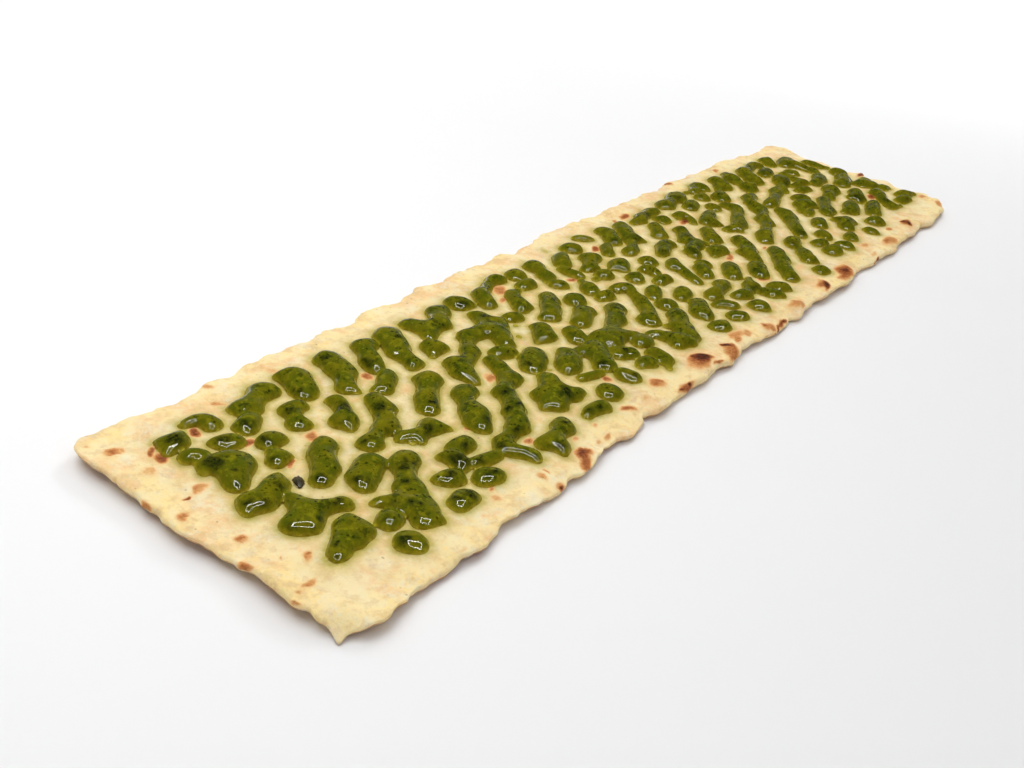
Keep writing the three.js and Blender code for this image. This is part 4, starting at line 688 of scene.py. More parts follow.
PITCH, FUSE = 0.56, 0.75
bead = BEADS[:, 1:]
px0, px1 = bead[:, [0, 2]].min() - 8, bead[:, [0, 2]].max() + 8
py0, py1 = bead[:, [1, 3]].min() - 8, bead[:, [1, 3]].max() + 8
PXS = np.arange(px0, px1, PITCH)
PYS = np.arange(py0, py1, PITCH)
field = np.full((len(PYS), len(PXS)), -8.0)
dome = np.zeros_like(field)
tone = np.zeros_like(field)


def solve(f, pull, load):
    """Solves pull * u - laplacian(u) = load over f > 0 with u = 0 where f crosses zero between grid points."""
    inside = f > 0
    diag = np.full(f.shape, pull * PITCH * PITCH)
    links = []
    for ax, sh in ((0, 1), (0, -1), (1, 1), (1, -1)):
        g = np.roll(f, sh, axis=ax)
        inn = g > 0
        links.append((ax, sh, inn))
        theta = np.clip(f / np.maximum(f - g, 1e-9), 0.08, 1)
        diag += np.where(inn, 1.0, 1.0 / theta)
    b = np.where(inside, load * PITCH * PITCH, 0.0)
    u = np.zeros_like(f)

    def apply(v):
        out = diag * v
        for ax, sh, inn in links:
            out = out - np.where(inn, np.roll(v, sh, axis=ax), 0.0)
        return np.where(inside, out, 0.0)

    r = b - apply(u)
    zed = np.where(inside, r / diag, 0.0)
    p = zed.copy()
    rz = (r * zed).sum()
    for _ in range(160):
        ap = apply(p)
        alpha = rz / max((p * ap).sum(), 1e-30)
        u += alpha * p
        r -= alpha * ap
        if np.abs(r).max() < 1e-5:
            break
        zed = np.where(inside, r / diag, 0.0)
        rz2 = (r * zed).sum()
        p = zed + rz2 / rz * p
        rz = rz2
    return u


HEIGHT, REACH, CROWN = 2.9, 1.5, 0.22


def dome_of(f):
    """The profile of a thick drop: steep round shoulders near its rim, flat towards its middle, and slightly crowned."""
    puddle = solve(f, 1 / REACH**2, HEIGHT / REACH**2)
    u = np.clip(solve(f, 0.004, 1.0), 0, None)
    crown = np.sqrt(4 * u + 9.0) - 3.0
    return puddle + CROWN * crown / (1 + crown / 6.0)


def soften(f, sigma):
    """A Gaussian blur of a field: surface tension rounds every corner of a drop's outline."""
    k = int(math.ceil(3 * sigma))
    w = np.exp(-0.5 * (np.arange(-k, k + 1) / sigma)**2)
    w /= w.sum()
    pad = np.pad(f, k, mode="edge")
    rows = sum(w[i] * pad[:, i:i + f.shape[1]] for i in range(2 * k + 1))
    return sum(w[i] * rows[i:i + f.shape[0]] for i in range(2 * k + 1))


stroke_ids = np.unique(BEADS[:, 0].astype(int))
tones = np.random.RandomState(23).uniform(0, 1, stroke_ids.max() + 1)
for s in stroke_ids:
    mine = BEADS[BEADS[:, 0].astype(int) == s][:, 1:]
    r = mine[:, 4].max() + 5
    lo = (mine[:, [0, 2]].min() - r, mine[:, [1, 3]].min() - r)
    hi = (mine[:, [0, 2]].max() + r, mine[:, [1, 3]].max() + r)
    i0, i1 = np.searchsorted(PXS, [lo[0], hi[0]])
    j0, j1 = np.searchsorted(PYS, [lo[1], hi[1]])
    X, Y = np.meshgrid(PXS[i0:i1], PYS[j0:j1])
    # a hand-piped edge is never a clean arc
    wx = X + 0.17 * noise2(X, Y, 3.6, 71) + 0.12 * noise2(X, Y, 1.6, 73)
    wy = Y + 0.17 * noise2(X, Y, 3.6, 72) + 0.12 * noise2(X, Y, 1.6, 74)
    total = np.zeros_like(X)
    for x0, y0, x1, y1, rad in mine:
        ex, ey = x1 - x0, y1 - y0
        t = np.clip(((wx - x0) * ex + (wy - y0) * ey) / (ex * ex + ey * ey + 1e-9), 0, 1)
        total += np.exp(np.clip((rad - np.hypot(wx - x0 - t * ex, wy - y0 - t * ey)) / FUSE, -40, 40))
    f = soften(FUSE * np.log(total + 1e-17), 0.85 / PITCH) + 0.11
    h = dome_of(f)
    view = (slice(j0, j1), slice(i0, i1))
    win = f > field[view]
    tone[view] = np.where(win, tones[s], tone[view])
    field[view] = np.maximum(field[view], f)
    dome[view] = np.maximum(dome[view], h)

print("pesto cover mm2", float((field > 0).sum() * PITCH**2))


def sample(grid, x, y):
    u = np.clip((x - PXS[0]) / PITCH, 0, len(PXS) - 1.001)
    v = np.clip((y - PYS[0]) / PITCH, 0, len(PYS) - 1.001)
    i, j = u.astype(int), v.astype(int)
    a, b = u - i, v - j
    return (grid[j, i] * (1 - a) * (1 - b) + grid[j, i + 1] * a * (1 - b) + grid[j + 1, i] * (1 - a) * b + grid[j + 1, i + 1] * a * b)


# dark places in the pesto, partly chopped leaf gathered there and partly painted shade on the drops' lower fronts: x,
# y, radius, amount
LEAF_AND_PAINTED_SHADE = np.array([float(v) for v in """
-153.3 -28.5 3.2 1.00   -206.3 15.8 2.5 1.00   -206.6 30.4 2.3 1.00   -98.1 -27.8 2.2 1.00   -163.2 -41.0 1.8 1.00
-188.0 14.3 1.7 1.00   -182.2 -15.1 1.6 1.00   -191.2 -40.8 1.5 0.97   -148.0 -11.7 1.8 0.97   -186.6 24.0 1.6 1.00
-207.9 -6.3 1.4 1.00   -133.2 27.0 1.8 1.00   -196.4 22.4 1.6 0.95   -168.4 -20.6 1.4 1.00   -135.2 -3.3 1.9 0.96
-150.1 5.4 1.7 0.98   -200.1 -3.7 1.4 0.96   -157.9 13.4 1.7 0.96   -75.7 33.0 2.1 1.00   -188.4 -8.5 1.4 1.00
-160.2 -30.9 1.4 1.00   -137.2 -32.2 1.6 0.94   -179.2 -32.3 1.4 0.97   -120.1 -21.6 1.6 1.00   -192.8 -18.7 1.3 1.00
-209.3 -17.7 1.1 1.00   -208.2 -33.8 1.1 1.00   -134.6 -42.4 1.3 1.00   -123.8 -43.9 1.6 0.93   -172.4 -24.7 1.3 0.99
-166.0 -4.0 1.4 0.98   -167.1 -39.3 1.3 0.93   -99.8 -38.0 1.6 0.99   -131.4 -21.5 1.5 0.94   -73.0 -25.2 1.8 0.97
-156.4 -5.1 1.3 1.00   -117.1 -23.4 1.4 1.00   167.3 29.1 3.3 0.60   -210.8 -4.1 1.2 0.95   -13.1 14.4 2.1 0.90
165.7 14.8 3.4 0.57   -148.4 -33.0 1.2 1.00   -197.9 18.3 1.2 0.96   -122.4 18.3 1.4 1.00   -171.5 22.0 1.3 0.97
-127.8 -29.5 1.3 0.99   33.4 -34.5 2.1 0.78   -114.4 -15.0 1.4 0.99   -191.9 7.7 1.1 0.95   180.0 -18.0 3.0 0.58
-57.7 -26.0 1.5 1.00   -207.8 2.8 1.0 1.00   63.4 36.4 2.3 0.70   -163.8 -31.4 1.0 1.00   -194.4 -6.4 1.0 1.00
-141.7 35.8 1.3 0.94   -145.8 -24.6 1.1 0.99   -164.5 -20.6 1.0 0.97   -77.8 21.2 1.6 0.92   32.3 25.2 2.1 0.73
54.5 11.7 2.0 0.72   88.8 27.9 2.2 0.63   -115.9 1.4 1.2 1.00   -179.9 -17.8 0.9 0.99   -160.6 28.8 1.1 0.98
30.0 10.3 1.7 0.79   -95.5 -39.8 1.2 0.97   92.3 -21.9 2.1 0.60   -206.1 -30.7 0.9 0.99   -151.6 -37.9 1.0 0.95
-113.8 29.8 1.2 0.97   203.2 -36.3 2.6 0.58   -92.5 -9.2 1.2 1.00   34.1 -31.7 1.7 0.78   41.6 1.0 1.8 0.72
107.6 -18.5 2.0 0.59   92.4 38.3 2.0 0.61   -166.0 -18.5 0.9 0.94   -113.3 -38.2 1.1 0.93   58.7 -37.4 1.7 0.69
-149.0 -38.4 0.9 0.93   -147.0 -30.8 1.0 0.92   -201.1 -21.0 0.9 0.92   7.3 -29.8 1.4 0.84   -162.7 30.3 0.9 0.98
152.7 1.8 2.2 0.56   -195.2 30.2 0.9 0.96   -205.2 8.6 0.9 0.96   -37.2 -46.1 1.2 0.92   189.7 -29.3 2.2 0.57
9.8 25.8 1.5 0.79   -69.2 -37.0 1.1 0.94   22.4 29.4 1.4 0.81   -174.6 13.8 0.9 0.98   -178.1 -34.5 0.9 0.93
-9.7 -40.1 1.1 0.89
""".split()]).reshape(-1, 4)


# darkening from the table above: chopped leaf, and painted shade on the drops' lower fronts
def leaf_and_painted_shade_at(x, y):
    out = np.zeros_like(x)
    wx, wy = x + 0.5 * noise2(x, y, 1.8, 91), y + 0.5 * noise2(x, y, 1.8, 92)
    for cx, cy, rad, amount in LEAF_AND_PAINTED_SHADE:
        near = np.hypot(x - cx, y - cy) < 2.2 * rad + 1
        d = np.hypot(wx[near] - cx, wy[near] - cy) / rad
        out[near] = np.maximum(out[near], amount * smooth((1.7 - d) / 1.2))
    return out


def outside(x, y):
    """Distance outside the pesto, up to 8 mm; negative inside."""
    inside_grid = (x > PXS[0]) & (x < PXS[-1]) & (y > PYS[0]) & (y < PYS[-1])
    return np.where(inside_grid, -sample(field, x, y), 8.0)


# --------------------------------------------------------------------------- bread piece

top_x, top_y = bread_verts[:, 0], bread_verts[:, 1]
toast = toast_at(top_x, top_y)
below = np.zeros(len(bread_verts))
below[n_top:] = 1.0
rim_d = np.concatenate([band_d, rim_distance(gx.ravel(), gy.ravel()), low_d, rim_distance(core[:, 0], core[:, 1])])
oil = np.exp(-np.clip(outside(top_x, top_y) - 0.3, 0, None) / 1.5)
bread = make_piece("bread", bread_verts, bread_faces, {
    "toast": toast, "below": below, "rim": np.clip(rim_d / 10, 0, 1), "oil": oil * (1 - below)})

# --------------------------------------------------------------------------- pesto mesh


def pesto_mesh():
    f = field.copy()
    X, Y = np.meshgrid(PXS, PYS)
    ny, nx = f.shape
    # pull grid points that lie next to the outline onto it
    gy_, gx_ = np.gradient(f, PITCH)
    g2 = np.maximum(gx_**2 + gy_**2, 0.05)
    near = np.abs(f) / np.sqrt(g2) < 0.30 * PITCH
    X = np.where(near, X - f * gx_ / g2, X)
    Y = np.where(near, Y - f * gy_ / g2, Y)
    f[near] = 0.0
    h = np.where(near, 0.0, dome)
    soft = h.copy()
    soft[1:-1, 1:-1] = (4 * h[1:-1, 1:-1] + 2 * (h[:-2, 1:-1] + h[2:, 1:-1] + h[1:-1, :-2] + h[1:-1, 2:]) + h[:-2, :-2] + h[2:, 2:] + h[:-2, 2:] + h[2:, :-2]) / 16
    h = np.where(h > 0.9, soft, h)
    idx = np.arange(ny * nx).reshape(ny, nx)
    a, b, c, d = idx[:-1, :-1].ravel(), idx[:-1, 1:].ravel(), idx[1:, 1:].ravel(), idx[1:, :-1].ravel()
    odd = ((np.arange(ny - 1)[:, None] + np.arange(nx - 1)[None]) % 2 == 1).ravel()
    t1 = np.where(odd[:, None], np.stack([a, b, d], 1), np.stack([a, b, c], 1))
    t2 = np.where(odd[:, None], np.stack([b, c, d], 1), np.stack([a, c, d], 1))
    tri = np.concatenate([t1, t2])
    ff = f.ravel()
    s = np.sign(ff[tri]).astype(int)
    keep = (s > 0).any(1) | ((s == 0).all(1) & (sample(field, X.ravel()[tri].mean(1), Y.ravel()[tri].mean(1)) > 0))
    tri, s = tri[keep], s[keep]
    px, py, ph = X.ravel(), Y.ravel(), h.ravel()
    whole = (s >= 0).all(1)
    tris = [tri[whole]]
    part, sp = tri[~whole], s[~whole]
    # clip each triangle that the outline crosses to its part inside the pesto, and fan that part into triangles
    cross = {}
    new_xy = []
    base = ny * nx

    def cut(i, o):
        key = (i, o)
        if key not in cross:
            t = ff[i] / (ff[i] - ff[o])
            cross[key] = base + len(new_xy)
            new_xy.append((px[i] + t * (px[o] - px[i]), py[i] + t * (py[o] - py[i])))
        return cross[key]

    extra = []
    for (p, q, r), (a_, b_, c_) in zip(part.tolist(), sp.tolist()):
        v, w = [p, q, r], [a_, b_, c_]
        poly = []
        for k in range(3):
            i, j = v[k], v[(k + 1) % 3]
            si, sj = w[k], w[(k + 1) % 3]
            if si >= 0:
                poly.append(i)
            if si > 0 and sj < 0:
                poly.append(cut(i, j))
            elif si < 0 and sj > 0:
                poly.append(cut(j, i))
        for k in range(1, len(poly) - 1):
            extra.append((poly[0], poly[k], poly[k + 1]))
    if extra:
        tris.append(np.array(extra, np.int64))
    t = np.concatenate(tris)
    new_xy = np.array(new_xy).reshape(-1, 2)
    px = np.concatenate([px, new_xy[:, 0]])
    py = np.concatenate([py, new_xy[:, 1]])
    ph = np.concatenate([ph, np.zeros(len(new_xy))])
    used = np.unique(t)
    remap = np.full(len(px), -1)
    remap[used] = np.arange(len(used))
    return px[used], py[used], ph[used], remap[t]


def edge_keys(tri):
    e = np.concatenate([tri[:, [0, 1]], tri[:, [1, 2]], tri[:, [2, 0]]])
    return e, np.minimum(e[:, 0], e[:, 1]).astype(np.int64) * 10**7 + np.maximum(e[:, 0], e[:, 1])


def pesto_floor(qx, qy, ptop):
    """The outline of the top, and a coarser sheet just inside the bread tied to that outline."""
    e, code = edge_keys(ptop)
    _, first, cnt = np.unique(code, return_index=True, return_counts=True)
    outline = e[first[cnt == 1]]
    border = np.zeros(len(qx), bool)
    border[outline.ravel()] = True
    coarse_x, coarse_y = np.meshgrid(np.arange(px0, px1, 2.2), np.arange(py0, py1, 2.2))
    cxy = np.stack([coarse_x.ravel(), coarse_y.ravel()], 1)
    cxy = cxy[sample(field, cxy[:, 0], cxy[:, 1]) > 0.9]
    bid = np.nonzero(border)[0]
    back_id = np.full(len(qx), -1)
    back_id[bid] = np.arange(len(bid))
    pts = [Vector((qx[i], qy[i])) for i in bid] + [Vector(p) for p in cxy.tolist()]
    edges = [(int(back_id[i]), int(back_id[j])) for i, j in outline]
    out = delaunay_2d_cdt(pts, edges, [], 0, 1e-7)
    # the sheet's points come back in their own order when some coincide, so each is traced to the one it began as
    origin = np.array([o[0] if len(o) else -1 for o in out[3]])
    ft = np.array([f for f in out[2] if len(f) == 3], np.int64)
    vx = np.array([p[0] for p in out[0]])
    vy = np.array([p[1] for p in out[0]])
    # flood in from one side of the outline edges: a floor triangle is kept when it lies on the pesto's side
    trace = np.full(len(pts), -1)
    for k, o in enumerate(out[3]):
        trace[list(o)] = k
    w0, w1 = trace[back_id[outline[:, 0]]], trace[back_id[outline[:, 1]]]
    wall = np.sort(np.minimum(w0, w1).astype(np.int64) * 10**7 + np.maximum(w0, w1))
    _, te = edge_keys(ft)
    owner = np.tile(np.arange(len(ft)), 3)
    order = np.argsort(te, kind="stable")
    te, owner = te[order], owner[order]
    same = te[1:] == te[:-1]
    pa, pb, pk = owner[:-1][same], owner[1:][same], te[:-1][same]
    open_ = ~np.isin(pk, wall)
    pa, pb = pa[open_], pb[open_]
    score = sample(field, vx[ft].mean(1), vy[ft].mean(1))
    label = np.arange(len(ft))
    while True:
        m = np.minimum(label[pa], label[pb])
        lower = label.copy()
        np.minimum.at(lower, pa, m)
        np.minimum.at(lower, pb, m)
        lower = lower[lower]
        if (lower == label).all():
            break
        label = lower
    weight = np.abs((vx[ft[:, 1]] - vx[ft[:, 0]]) * (vy[ft[:, 2]] - vy[ft[:, 0]]) - (vy[ft[:, 1]] - vy[ft[:, 0]]) * (vx[ft[:, 2]] - vx[ft[:, 0]]))
    total = np.bincount(label, weights=score * weight, minlength=len(ft))
    ft = ft[total[label] > 0]
    map_id = np.concatenate([bid, len(qx) + np.arange(len(cxy))])
    ok = (origin[ft] >= 0).all(1)
    pfloor = map_id[origin[ft[ok]]]
    ax, ay = np.concatenate([qx, cxy[:, 0]]), np.concatenate([qy, cxy[:, 1]])
    A, B, C = (pfloor[:, k] for k in range(3))
    area = (ax[B] - ax[A]) * (ay[C] - ay[A]) - (ay[B] - ay[A]) * (ax[C] - ax[A])
    pfloor[area > 0] = pfloor[area > 0][:, ::-1]
    return border, cxy, pfloor


# where two outlines pinch together the sheet would not close: part them a little there and build again
for attempt in range(12):
    qx, qy, qh, ptop = pesto_mesh()
    border, cxy, pfloor = pesto_floor(qx, qy, ptop)
    e, code = edge_keys(np.concatenate([ptop, pfloor]))
    _, first, cnt = np.unique(code, return_index=True, return_counts=True)
    bad = e[first[cnt != 2]].ravel()
    bad = bad[bad < len(qx)]
    print("pesto build", attempt, "loose edges", int((cnt != 2).sum()))
    if not (cnt != 2).any():
        break
    for x, y in zip(qx[bad], qy[bad]):
        i, j = int(round((x - PXS[0]) / PITCH)), int(round((y - PYS[0]) / PITCH))
        patch = field[j - 1:j + 2, i - 1:i + 2]
        patch[patch < 0.6] = np.minimum(patch[patch < 0.6], -0.35)
qh = np.where(border, 0.0, qh)
lump = 0.085 * noise2(qx, qy, 3.6, 81) + 0.035 * noise2(qx, qy, 1.7, 82)
qz = bread_top(qx, qy) + qh + lump * smooth(qh / 1.2) - 0.04 * border
floor_z = bread_top(cxy[:, 0], cxy[:, 1]) - 0.35
pverts = np.concatenate([np.column_stack([qx, qy, qz]), np.column_stack([cxy, floor_z])])
report_closed("pesto", [ptop, pfloor])
deep = np.concatenate([qh, np.full(len(cxy), 2.0)])
# the leaf attribute carries painted shade on the drops' lower fronts as well as chopped leaf
pesto = make_piece("pesto", pverts, [ptop, pfloor], {
    "deep": deep, "tone": np.concatenate([sample(tone, qx, qy), np.zeros(len(cxy))]),
    "leaf_and_painted_shade": np.concatenate([leaf_and_painted_shade_at(qx, qy), np.zeros(len(cxy))])})

# --------------------------------------------------------------------------- loose herb pieces


def leaf(cx, cy, length, width, turn, seed, height):
    """A torn, crumpled scrap of basil leaf lying at (cx, cy)."""
    rnd = np.random.RandomState(seed)
    n, m = 22, 6
    ang = np.linspace(0, 2 * math.pi, n, endpoint=False)
    edge = 1 + 0.20 * noise1(np.cos(ang) * 3 + 9, 1.1, seed) + 0.10 * rnd.standard_normal(n)
    c, s = math.cos(math.radians(turn)), math.sin(math.radians(turn))
    vs, fs = [], []
    lay = []
    for side in (1, -1):
        rows = []
        for k in range(1, m + 1):
            q = k / m
            u = 0.5 * length * q * edge * np.cos(ang)
            v = 0.5 * width * q * edge * np.sin(ang)
            x, y = cx + u * c - v * s, cy + u * s + v * c
            crumple = 0.55 * noise2(x, y, 1.3, seed + 5) * (1 - 0.3 * q)
            z = bread_top(x, y) + height * (1 - 0.55 * q * q) + crumple * height + side * 0.09 * math.sqrt(max(1 - q * q, 0))
            rows.append(np.column_stack([x, y, z]))
        lay.append(rows)
    verts, faces = [], []
    for side, rows in enumerate(lay):
        mid = rows[0].mean(0)
        mid[2] += 0.02
        start = sum(len(v) for v in verts)
        verts.append(mid[None])
        for r in rows:
            verts.append(r)
        ring = lambda k: start + 1 + (k - 1) * n + np.arange(n)
        nxt = np.roll(np.arange(n), -1)
        f = [np.stack([np.full(n, start), ring(1), ring(1)[nxt]], 1)]
        for k in range(1, m):
            a, b = ring(k), ring(k + 1)
            f += [np.stack([a, b, b[nxt]], 1), np.stack([a, b[nxt], a[nxt]], 1)]
        f = np.concatenate(f)
        faces.append(f if side == 0 else f[:, ::-1])
    top_rim = 1 + (m - 1) * n + np.arange(n)
    low_rim = top_rim + 1 + m * n
    verts, faces = np.concatenate(verts), np.concatenate(faces)
    faces = np.where(np.isin(faces, low_rim), faces - (1 + m * n), faces)
    return verts, faces


LEAVES = [
    (-192.3, -3.4, 5.6, 4.4, 60, 0.70),
]
all_v, all_f, count = [], [], 0
for k, (lx, ly, ll, lw, lt, lh) in enumerate(LEAVES):
    v, f = leaf(lx, ly, ll, lw, lt, 900 + 7 * k, lh)
    all_v.append(v)
    all_f.append(f + count)
    count += len(v)
lv, lf = np.concatenate(all_v), np.concatenate(all_f)
used = np.unique(lf)
remap = np.full(len(lv), -1)
remap[used] = np.arange(len(used))
herbs = make_piece("herb_scraps", lv[used], remap[lf])
report_closed("herbs", [remap[lf]])

# --------------------------------------------------------------------------- materials


class Tree:
    """Short names for building a node material."""

    def __init__(self, name):
        self.mat = bpy.data.materials.new(name)
        self.mat.use_nodes = True
        self.t = self.mat.node_tree
        self.t.nodes.clear()
        self.out = self.t.nodes.new("ShaderNodeOutputMaterial")
        self.shader = self.t.nodes.new("ShaderNodeBsdfPrincipled")
        self.t.links.new(self.shader.outputs["BSDF"], self.out.inputs["Surface"])
        self.pos = self.t.nodes.new("ShaderNodeTexCoord").outputs["Object"]

    def link(self, a, b):
        self.t.links.new(a, b)

    def put(self, socket, value):
        if isinstance(value, bpy.types.NodeSocket):
            self.t.links.new(value, socket)
        else:
            socket.default_value = value

    def noise(self, size_mm, detail=2.0, rough=0.5, shift=(0, 0, 0), stretch=(1, 1, 1), warp=0.0):
        m = self.t.nodes.new("ShaderNodeMapping")
        self.link(self.pos, m.inputs["Vector"])
        m.inputs["Location"].default_value = shift
        m.inputs["Scale"].default_value = stretch
        n = self.t.nodes.new("ShaderNodeTexNoise")
        self.link(m.outputs["Vector"], n.inputs["Vector"])
        n.inputs["Scale"].default_value = 1000.0 / size_mm
        n.inputs["Detail"].default_value = detail
        n.inputs["Roughness"].default_value = rough
        n.inputs["Distortion"].default_value = warp
        return n.outputs["Fac"]

    def cells(self, size_mm, shift=(0, 0, 0), feature="F1", output="Distance"):
        m = self.t.nodes.new("ShaderNodeMapping")
        self.link(self.pos, m.inputs["Vector"])
        m.inputs["Location"].default_value = shift
        v = self.t.nodes.new("ShaderNodeTexVoronoi")
        v.feature = feature
        self.link(m.outputs["Vector"], v.inputs["Vector"])
        v.inputs["Scale"].default_value = 1000.0 / size_mm
        return v.outputs[output]

    def attr(self, name):
        a = self.t.nodes.new("ShaderNodeAttribute")
        a.attribute_name = name
        return a.outputs["Fac"]

    def facing(self):
        w = self.t.nodes.new("ShaderNodeLayerWeight")
        w.inputs["Blend"].default_value = 0.5
        return w.outputs["Facing"]

    def span(self, value, a, b, c=0.0, d=1.0, kind="SMOOTHSTEP"):
        n = self.t.nodes.new("ShaderNodeMapRange")
        n.interpolation_type = kind
        self.put(n.inputs["Value"], value)
        for key, q in zip(("From Min", "From Max", "To Min", "To Max"), (a, b, c, d)):
            n.inputs[key].default_value = q
        return n.outputs["Result"]

    def math(self, op, a, b=0.0, c=None):
        n = self.t.nodes.new("ShaderNodeMath")
        n.operation = op
        self.put(n.inputs[0], a)
        self.put(n.inputs[1], b)
        if c is not None:
            self.put(n.inputs[2], c)
        return n.outputs[0]

    def mix(self, fac, a, b, mode="MIX"):
        n = self.t.nodes.new("ShaderNodeMix")
        n.data_type = "RGBA"
        n.blend_type = mode
        self.put(n.inputs["Factor"], fac)
        for socket, value in ((n.inputs[6], a), (n.inputs[7], b)):
            self.put(socket, value if isinstance(value, bpy.types.NodeSocket) else (*value, 1.0))
        return n.outputs[2]

    def ramp(self, fac, stops):
        n = self.t.nodes.new("ShaderNodeValToRGB")
        self.put(n.inputs["Fac"], fac)
        e = n.color_ramp.elements
        while len(e) < len(stops):
            e.new(0.5)
        for k, (p, col) in enumerate(stops):
            e[k].position = p
            e[k].color = (*col, 1.0)
        return n.outputs["Color"]

    def bump(self, height, strength, distance_mm, normal=None):
        n = self.t.nodes.new("ShaderNodeBump")
        n.inputs["Strength"].default_value = strength
        n.inputs["Distance"].default_value = distance_mm * MM
        self.put(n.inputs["Height"], height)
        if normal is not None:
            self.link(normal, n.inputs["Normal"])
        return n.outputs["Normal"]

    def set(self, **values):
        for key, value in values.items():
            self.put(self.shader.inputs[key.replace("_", " ")], value)


def bread_material():
    m = Tree("flatbread_crumb")
    toast, below, rim, oil = m.attr("toast"), m.attr("below"), m.attr("rim"), m.attr("oil")
    broad, mid_, fine = m.noise(26, 3, 0.55), m.noise(6, 4, 0.6, (3, 1, 0)), m.noise(1.6, 4, 0.65, (7, 2, 0))
    col = m.mix(m.span(broad, 0.36, 0.64), (0.990, 0.790, 0.408), (0.986, 0.760, 0.336))
    # greyer, less orange towards the middle, away from the rim, with a patchy boundary
    inner = m.math("ADD", rim, m.span(m.noise(11, 3, 0.55, (15, 6, 0)), 0.2, 0.8, -0.3, 0.3, "LINEAR"))
    col = m.mix(m.span(inner, 0.55, 1.15, 0, 0.60), col, (0.855, 0.715, 0.420))
    col = m.mix(m.span(m.noise(13, 3, 0.6, (11, 4, 0)), 0.47, 0.66, 0, 0.90), col, (0.905, 0.575, 0.270))
    col = m.mix(m.span(mid_, 0.47, 0.64, 0, 0.62), col, (0.960, 0.820, 0.500))
    col = m.mix(m.span(mid_, 0.48, 0.33, 0, 0.62), col, (0.790, 0.545, 0.235))
    col = m.mix(m.span(m.noise(3.4, 3, 0.6, (33, 4, 0)), 0.52, 0.66, 0, 0.42), col, (0.780, 0.545, 0.260))
    col = m.mix(m.span(m.noise(3.4, 3, 0.6, (33, 4, 0)), 0.48, 0.36, 0, 0.32), col, (0.960, 0.800, 0.480))
    flour = m.math("MULTIPLY", m.span(m.noise(9, 5, 0.7, (2, 9, 0)), 0.53, 0.66), m.span(fine, 0.35, 0.65, 0.3, 1.0))
    col = m.mix(m.math("MULTIPLY", flour, 0.70), col, (0.930, 0.860, 0.660))
    # greyish bruised-looking patches where the skin is damp
    damp = m.math("MULTIPLY", m.span(m.noise(7, 4, 0.6, (16, 3, 0)), 0.55, 0.70), m.span(m.noise(2.4, 3, 0.6, (3, 17, 0)), 0.35, 0.60))
    col = m.mix(m.math("MULTIPLY", damp, 0.65), col, (0.740, 0.545, 0.340))
    # fine freckle and grain
    col = m.mix(m.span(fine, 0.54, 0.74, 0, 0.36), col, (0.740, 0.520, 0.250))
    col = m.mix(m.span(fine, 0.46, 0.28, 0, 0.28), col, (0.960, 0.820, 0.500))
    col = m.mix(m.span(m.noise(0.8, 3, 0.6, (27, 2, 0)), 0.53, 0.72, 0, 0.25), col, (0.960, 0.830, 0.520))
    # oil creeping out of the pesto
    soak = m.math("MULTIPLY", oil, m.span(m.noise(3.2, 3, 0.6, (5, 5, 0)), 0.3, 0.68, 0.72, 1.12))
    col = m.mix(m.span(soak, 0.0, 1.0, 0, 0.92, "LINEAR"), col, (0.475, 0.400, 0.066))
    # toast
    grain = m.span(m.noise(1.1, 4, 0.7, (1, 8, 0)), 0.25, 0.75, 0.66, 1.30, "LINEAR")
    t = m.math("MULTIPLY", toast, grain)
    brown = m.ramp(t, [(0.12, (0.880, 0.570, 0.250)), (0.28, (0.710, 0.330, 0.105)), (0.46, (0.440, 0.138, 0.034)), (0.68, (0.185, 0.040, 0.012)), (0.95, (0.045, 0.012, 0.006))])
    col = m.mix(m.span(t, 0.0, 0.20, 0, 1, "LINEAR"), col, brown)
    # pinprick specks of burnt flour
    speck = m.math("MULTIPLY", m.span(m.cells(3.4, (8, 3, 0)), 0.13, 0.07), m.span(m.noise(9, 2, 0.5, (6, 6, 0)), 0.50, 0.60))
    col = m.mix(m.math("MULTIPLY", speck, 0.55), col, (0.40, 0.25, 0.10))
    # the underside: baked on a hot floor, with wide brown patches and dusting of flour
    patch = m.noise(17, 5, 0.62, (21, 5, 0), warp=0.6)
    base = m.ramp(patch, [(0.30, (0.860, 0.660, 0.360)), (0.50, (0.760, 0.480, 0.200)), (0.60, (0.500, 0.220, 0.075)), (0.72, (0.230, 0.080, 0.025)), (0.82, (0.060, 0.022, 0.010))])
    base = m.mix(m.span(m.noise(5, 5, 0.7, (31, 5, 0)), 0.50, 0.68, 0, 0.6), base, (0.880, 0.770, 0.560))
    col = m.mix(below, col, base)
    m.set(Base_Color=col)
    m.set(Roughness=m.math("SUBTRACT", m.span(mid_, 0.3, 0.7, 0.56, 0.70), m.math("MULTIPLY", soak, 0.22)))
    m.set(IOR=1.40, Specular_IOR_Level=0.30)
    m.set(Subsurface_Weight=0.10, Subsurface_Radius=(1.0, 0.52, 0.25), Subsurface_Scale=0.0014)
    n = m.bump(m.noise(4.5, 4, 0.6, (9, 9, 0)), 0.95, 0.72)
    n = m.bump(m.noise(1.3, 4, 0.65, (19, 9, 0)), 0.95, 0.40, n)
    n = m.bump(m.span(m.cells(1.9, (13, 3, 0)), 0.05, 0.30), 0.45, 0.09, n)
    n = m.bump(t, 0.6, 0.20, n)
    m.set(Normal=n)
    return m.mat


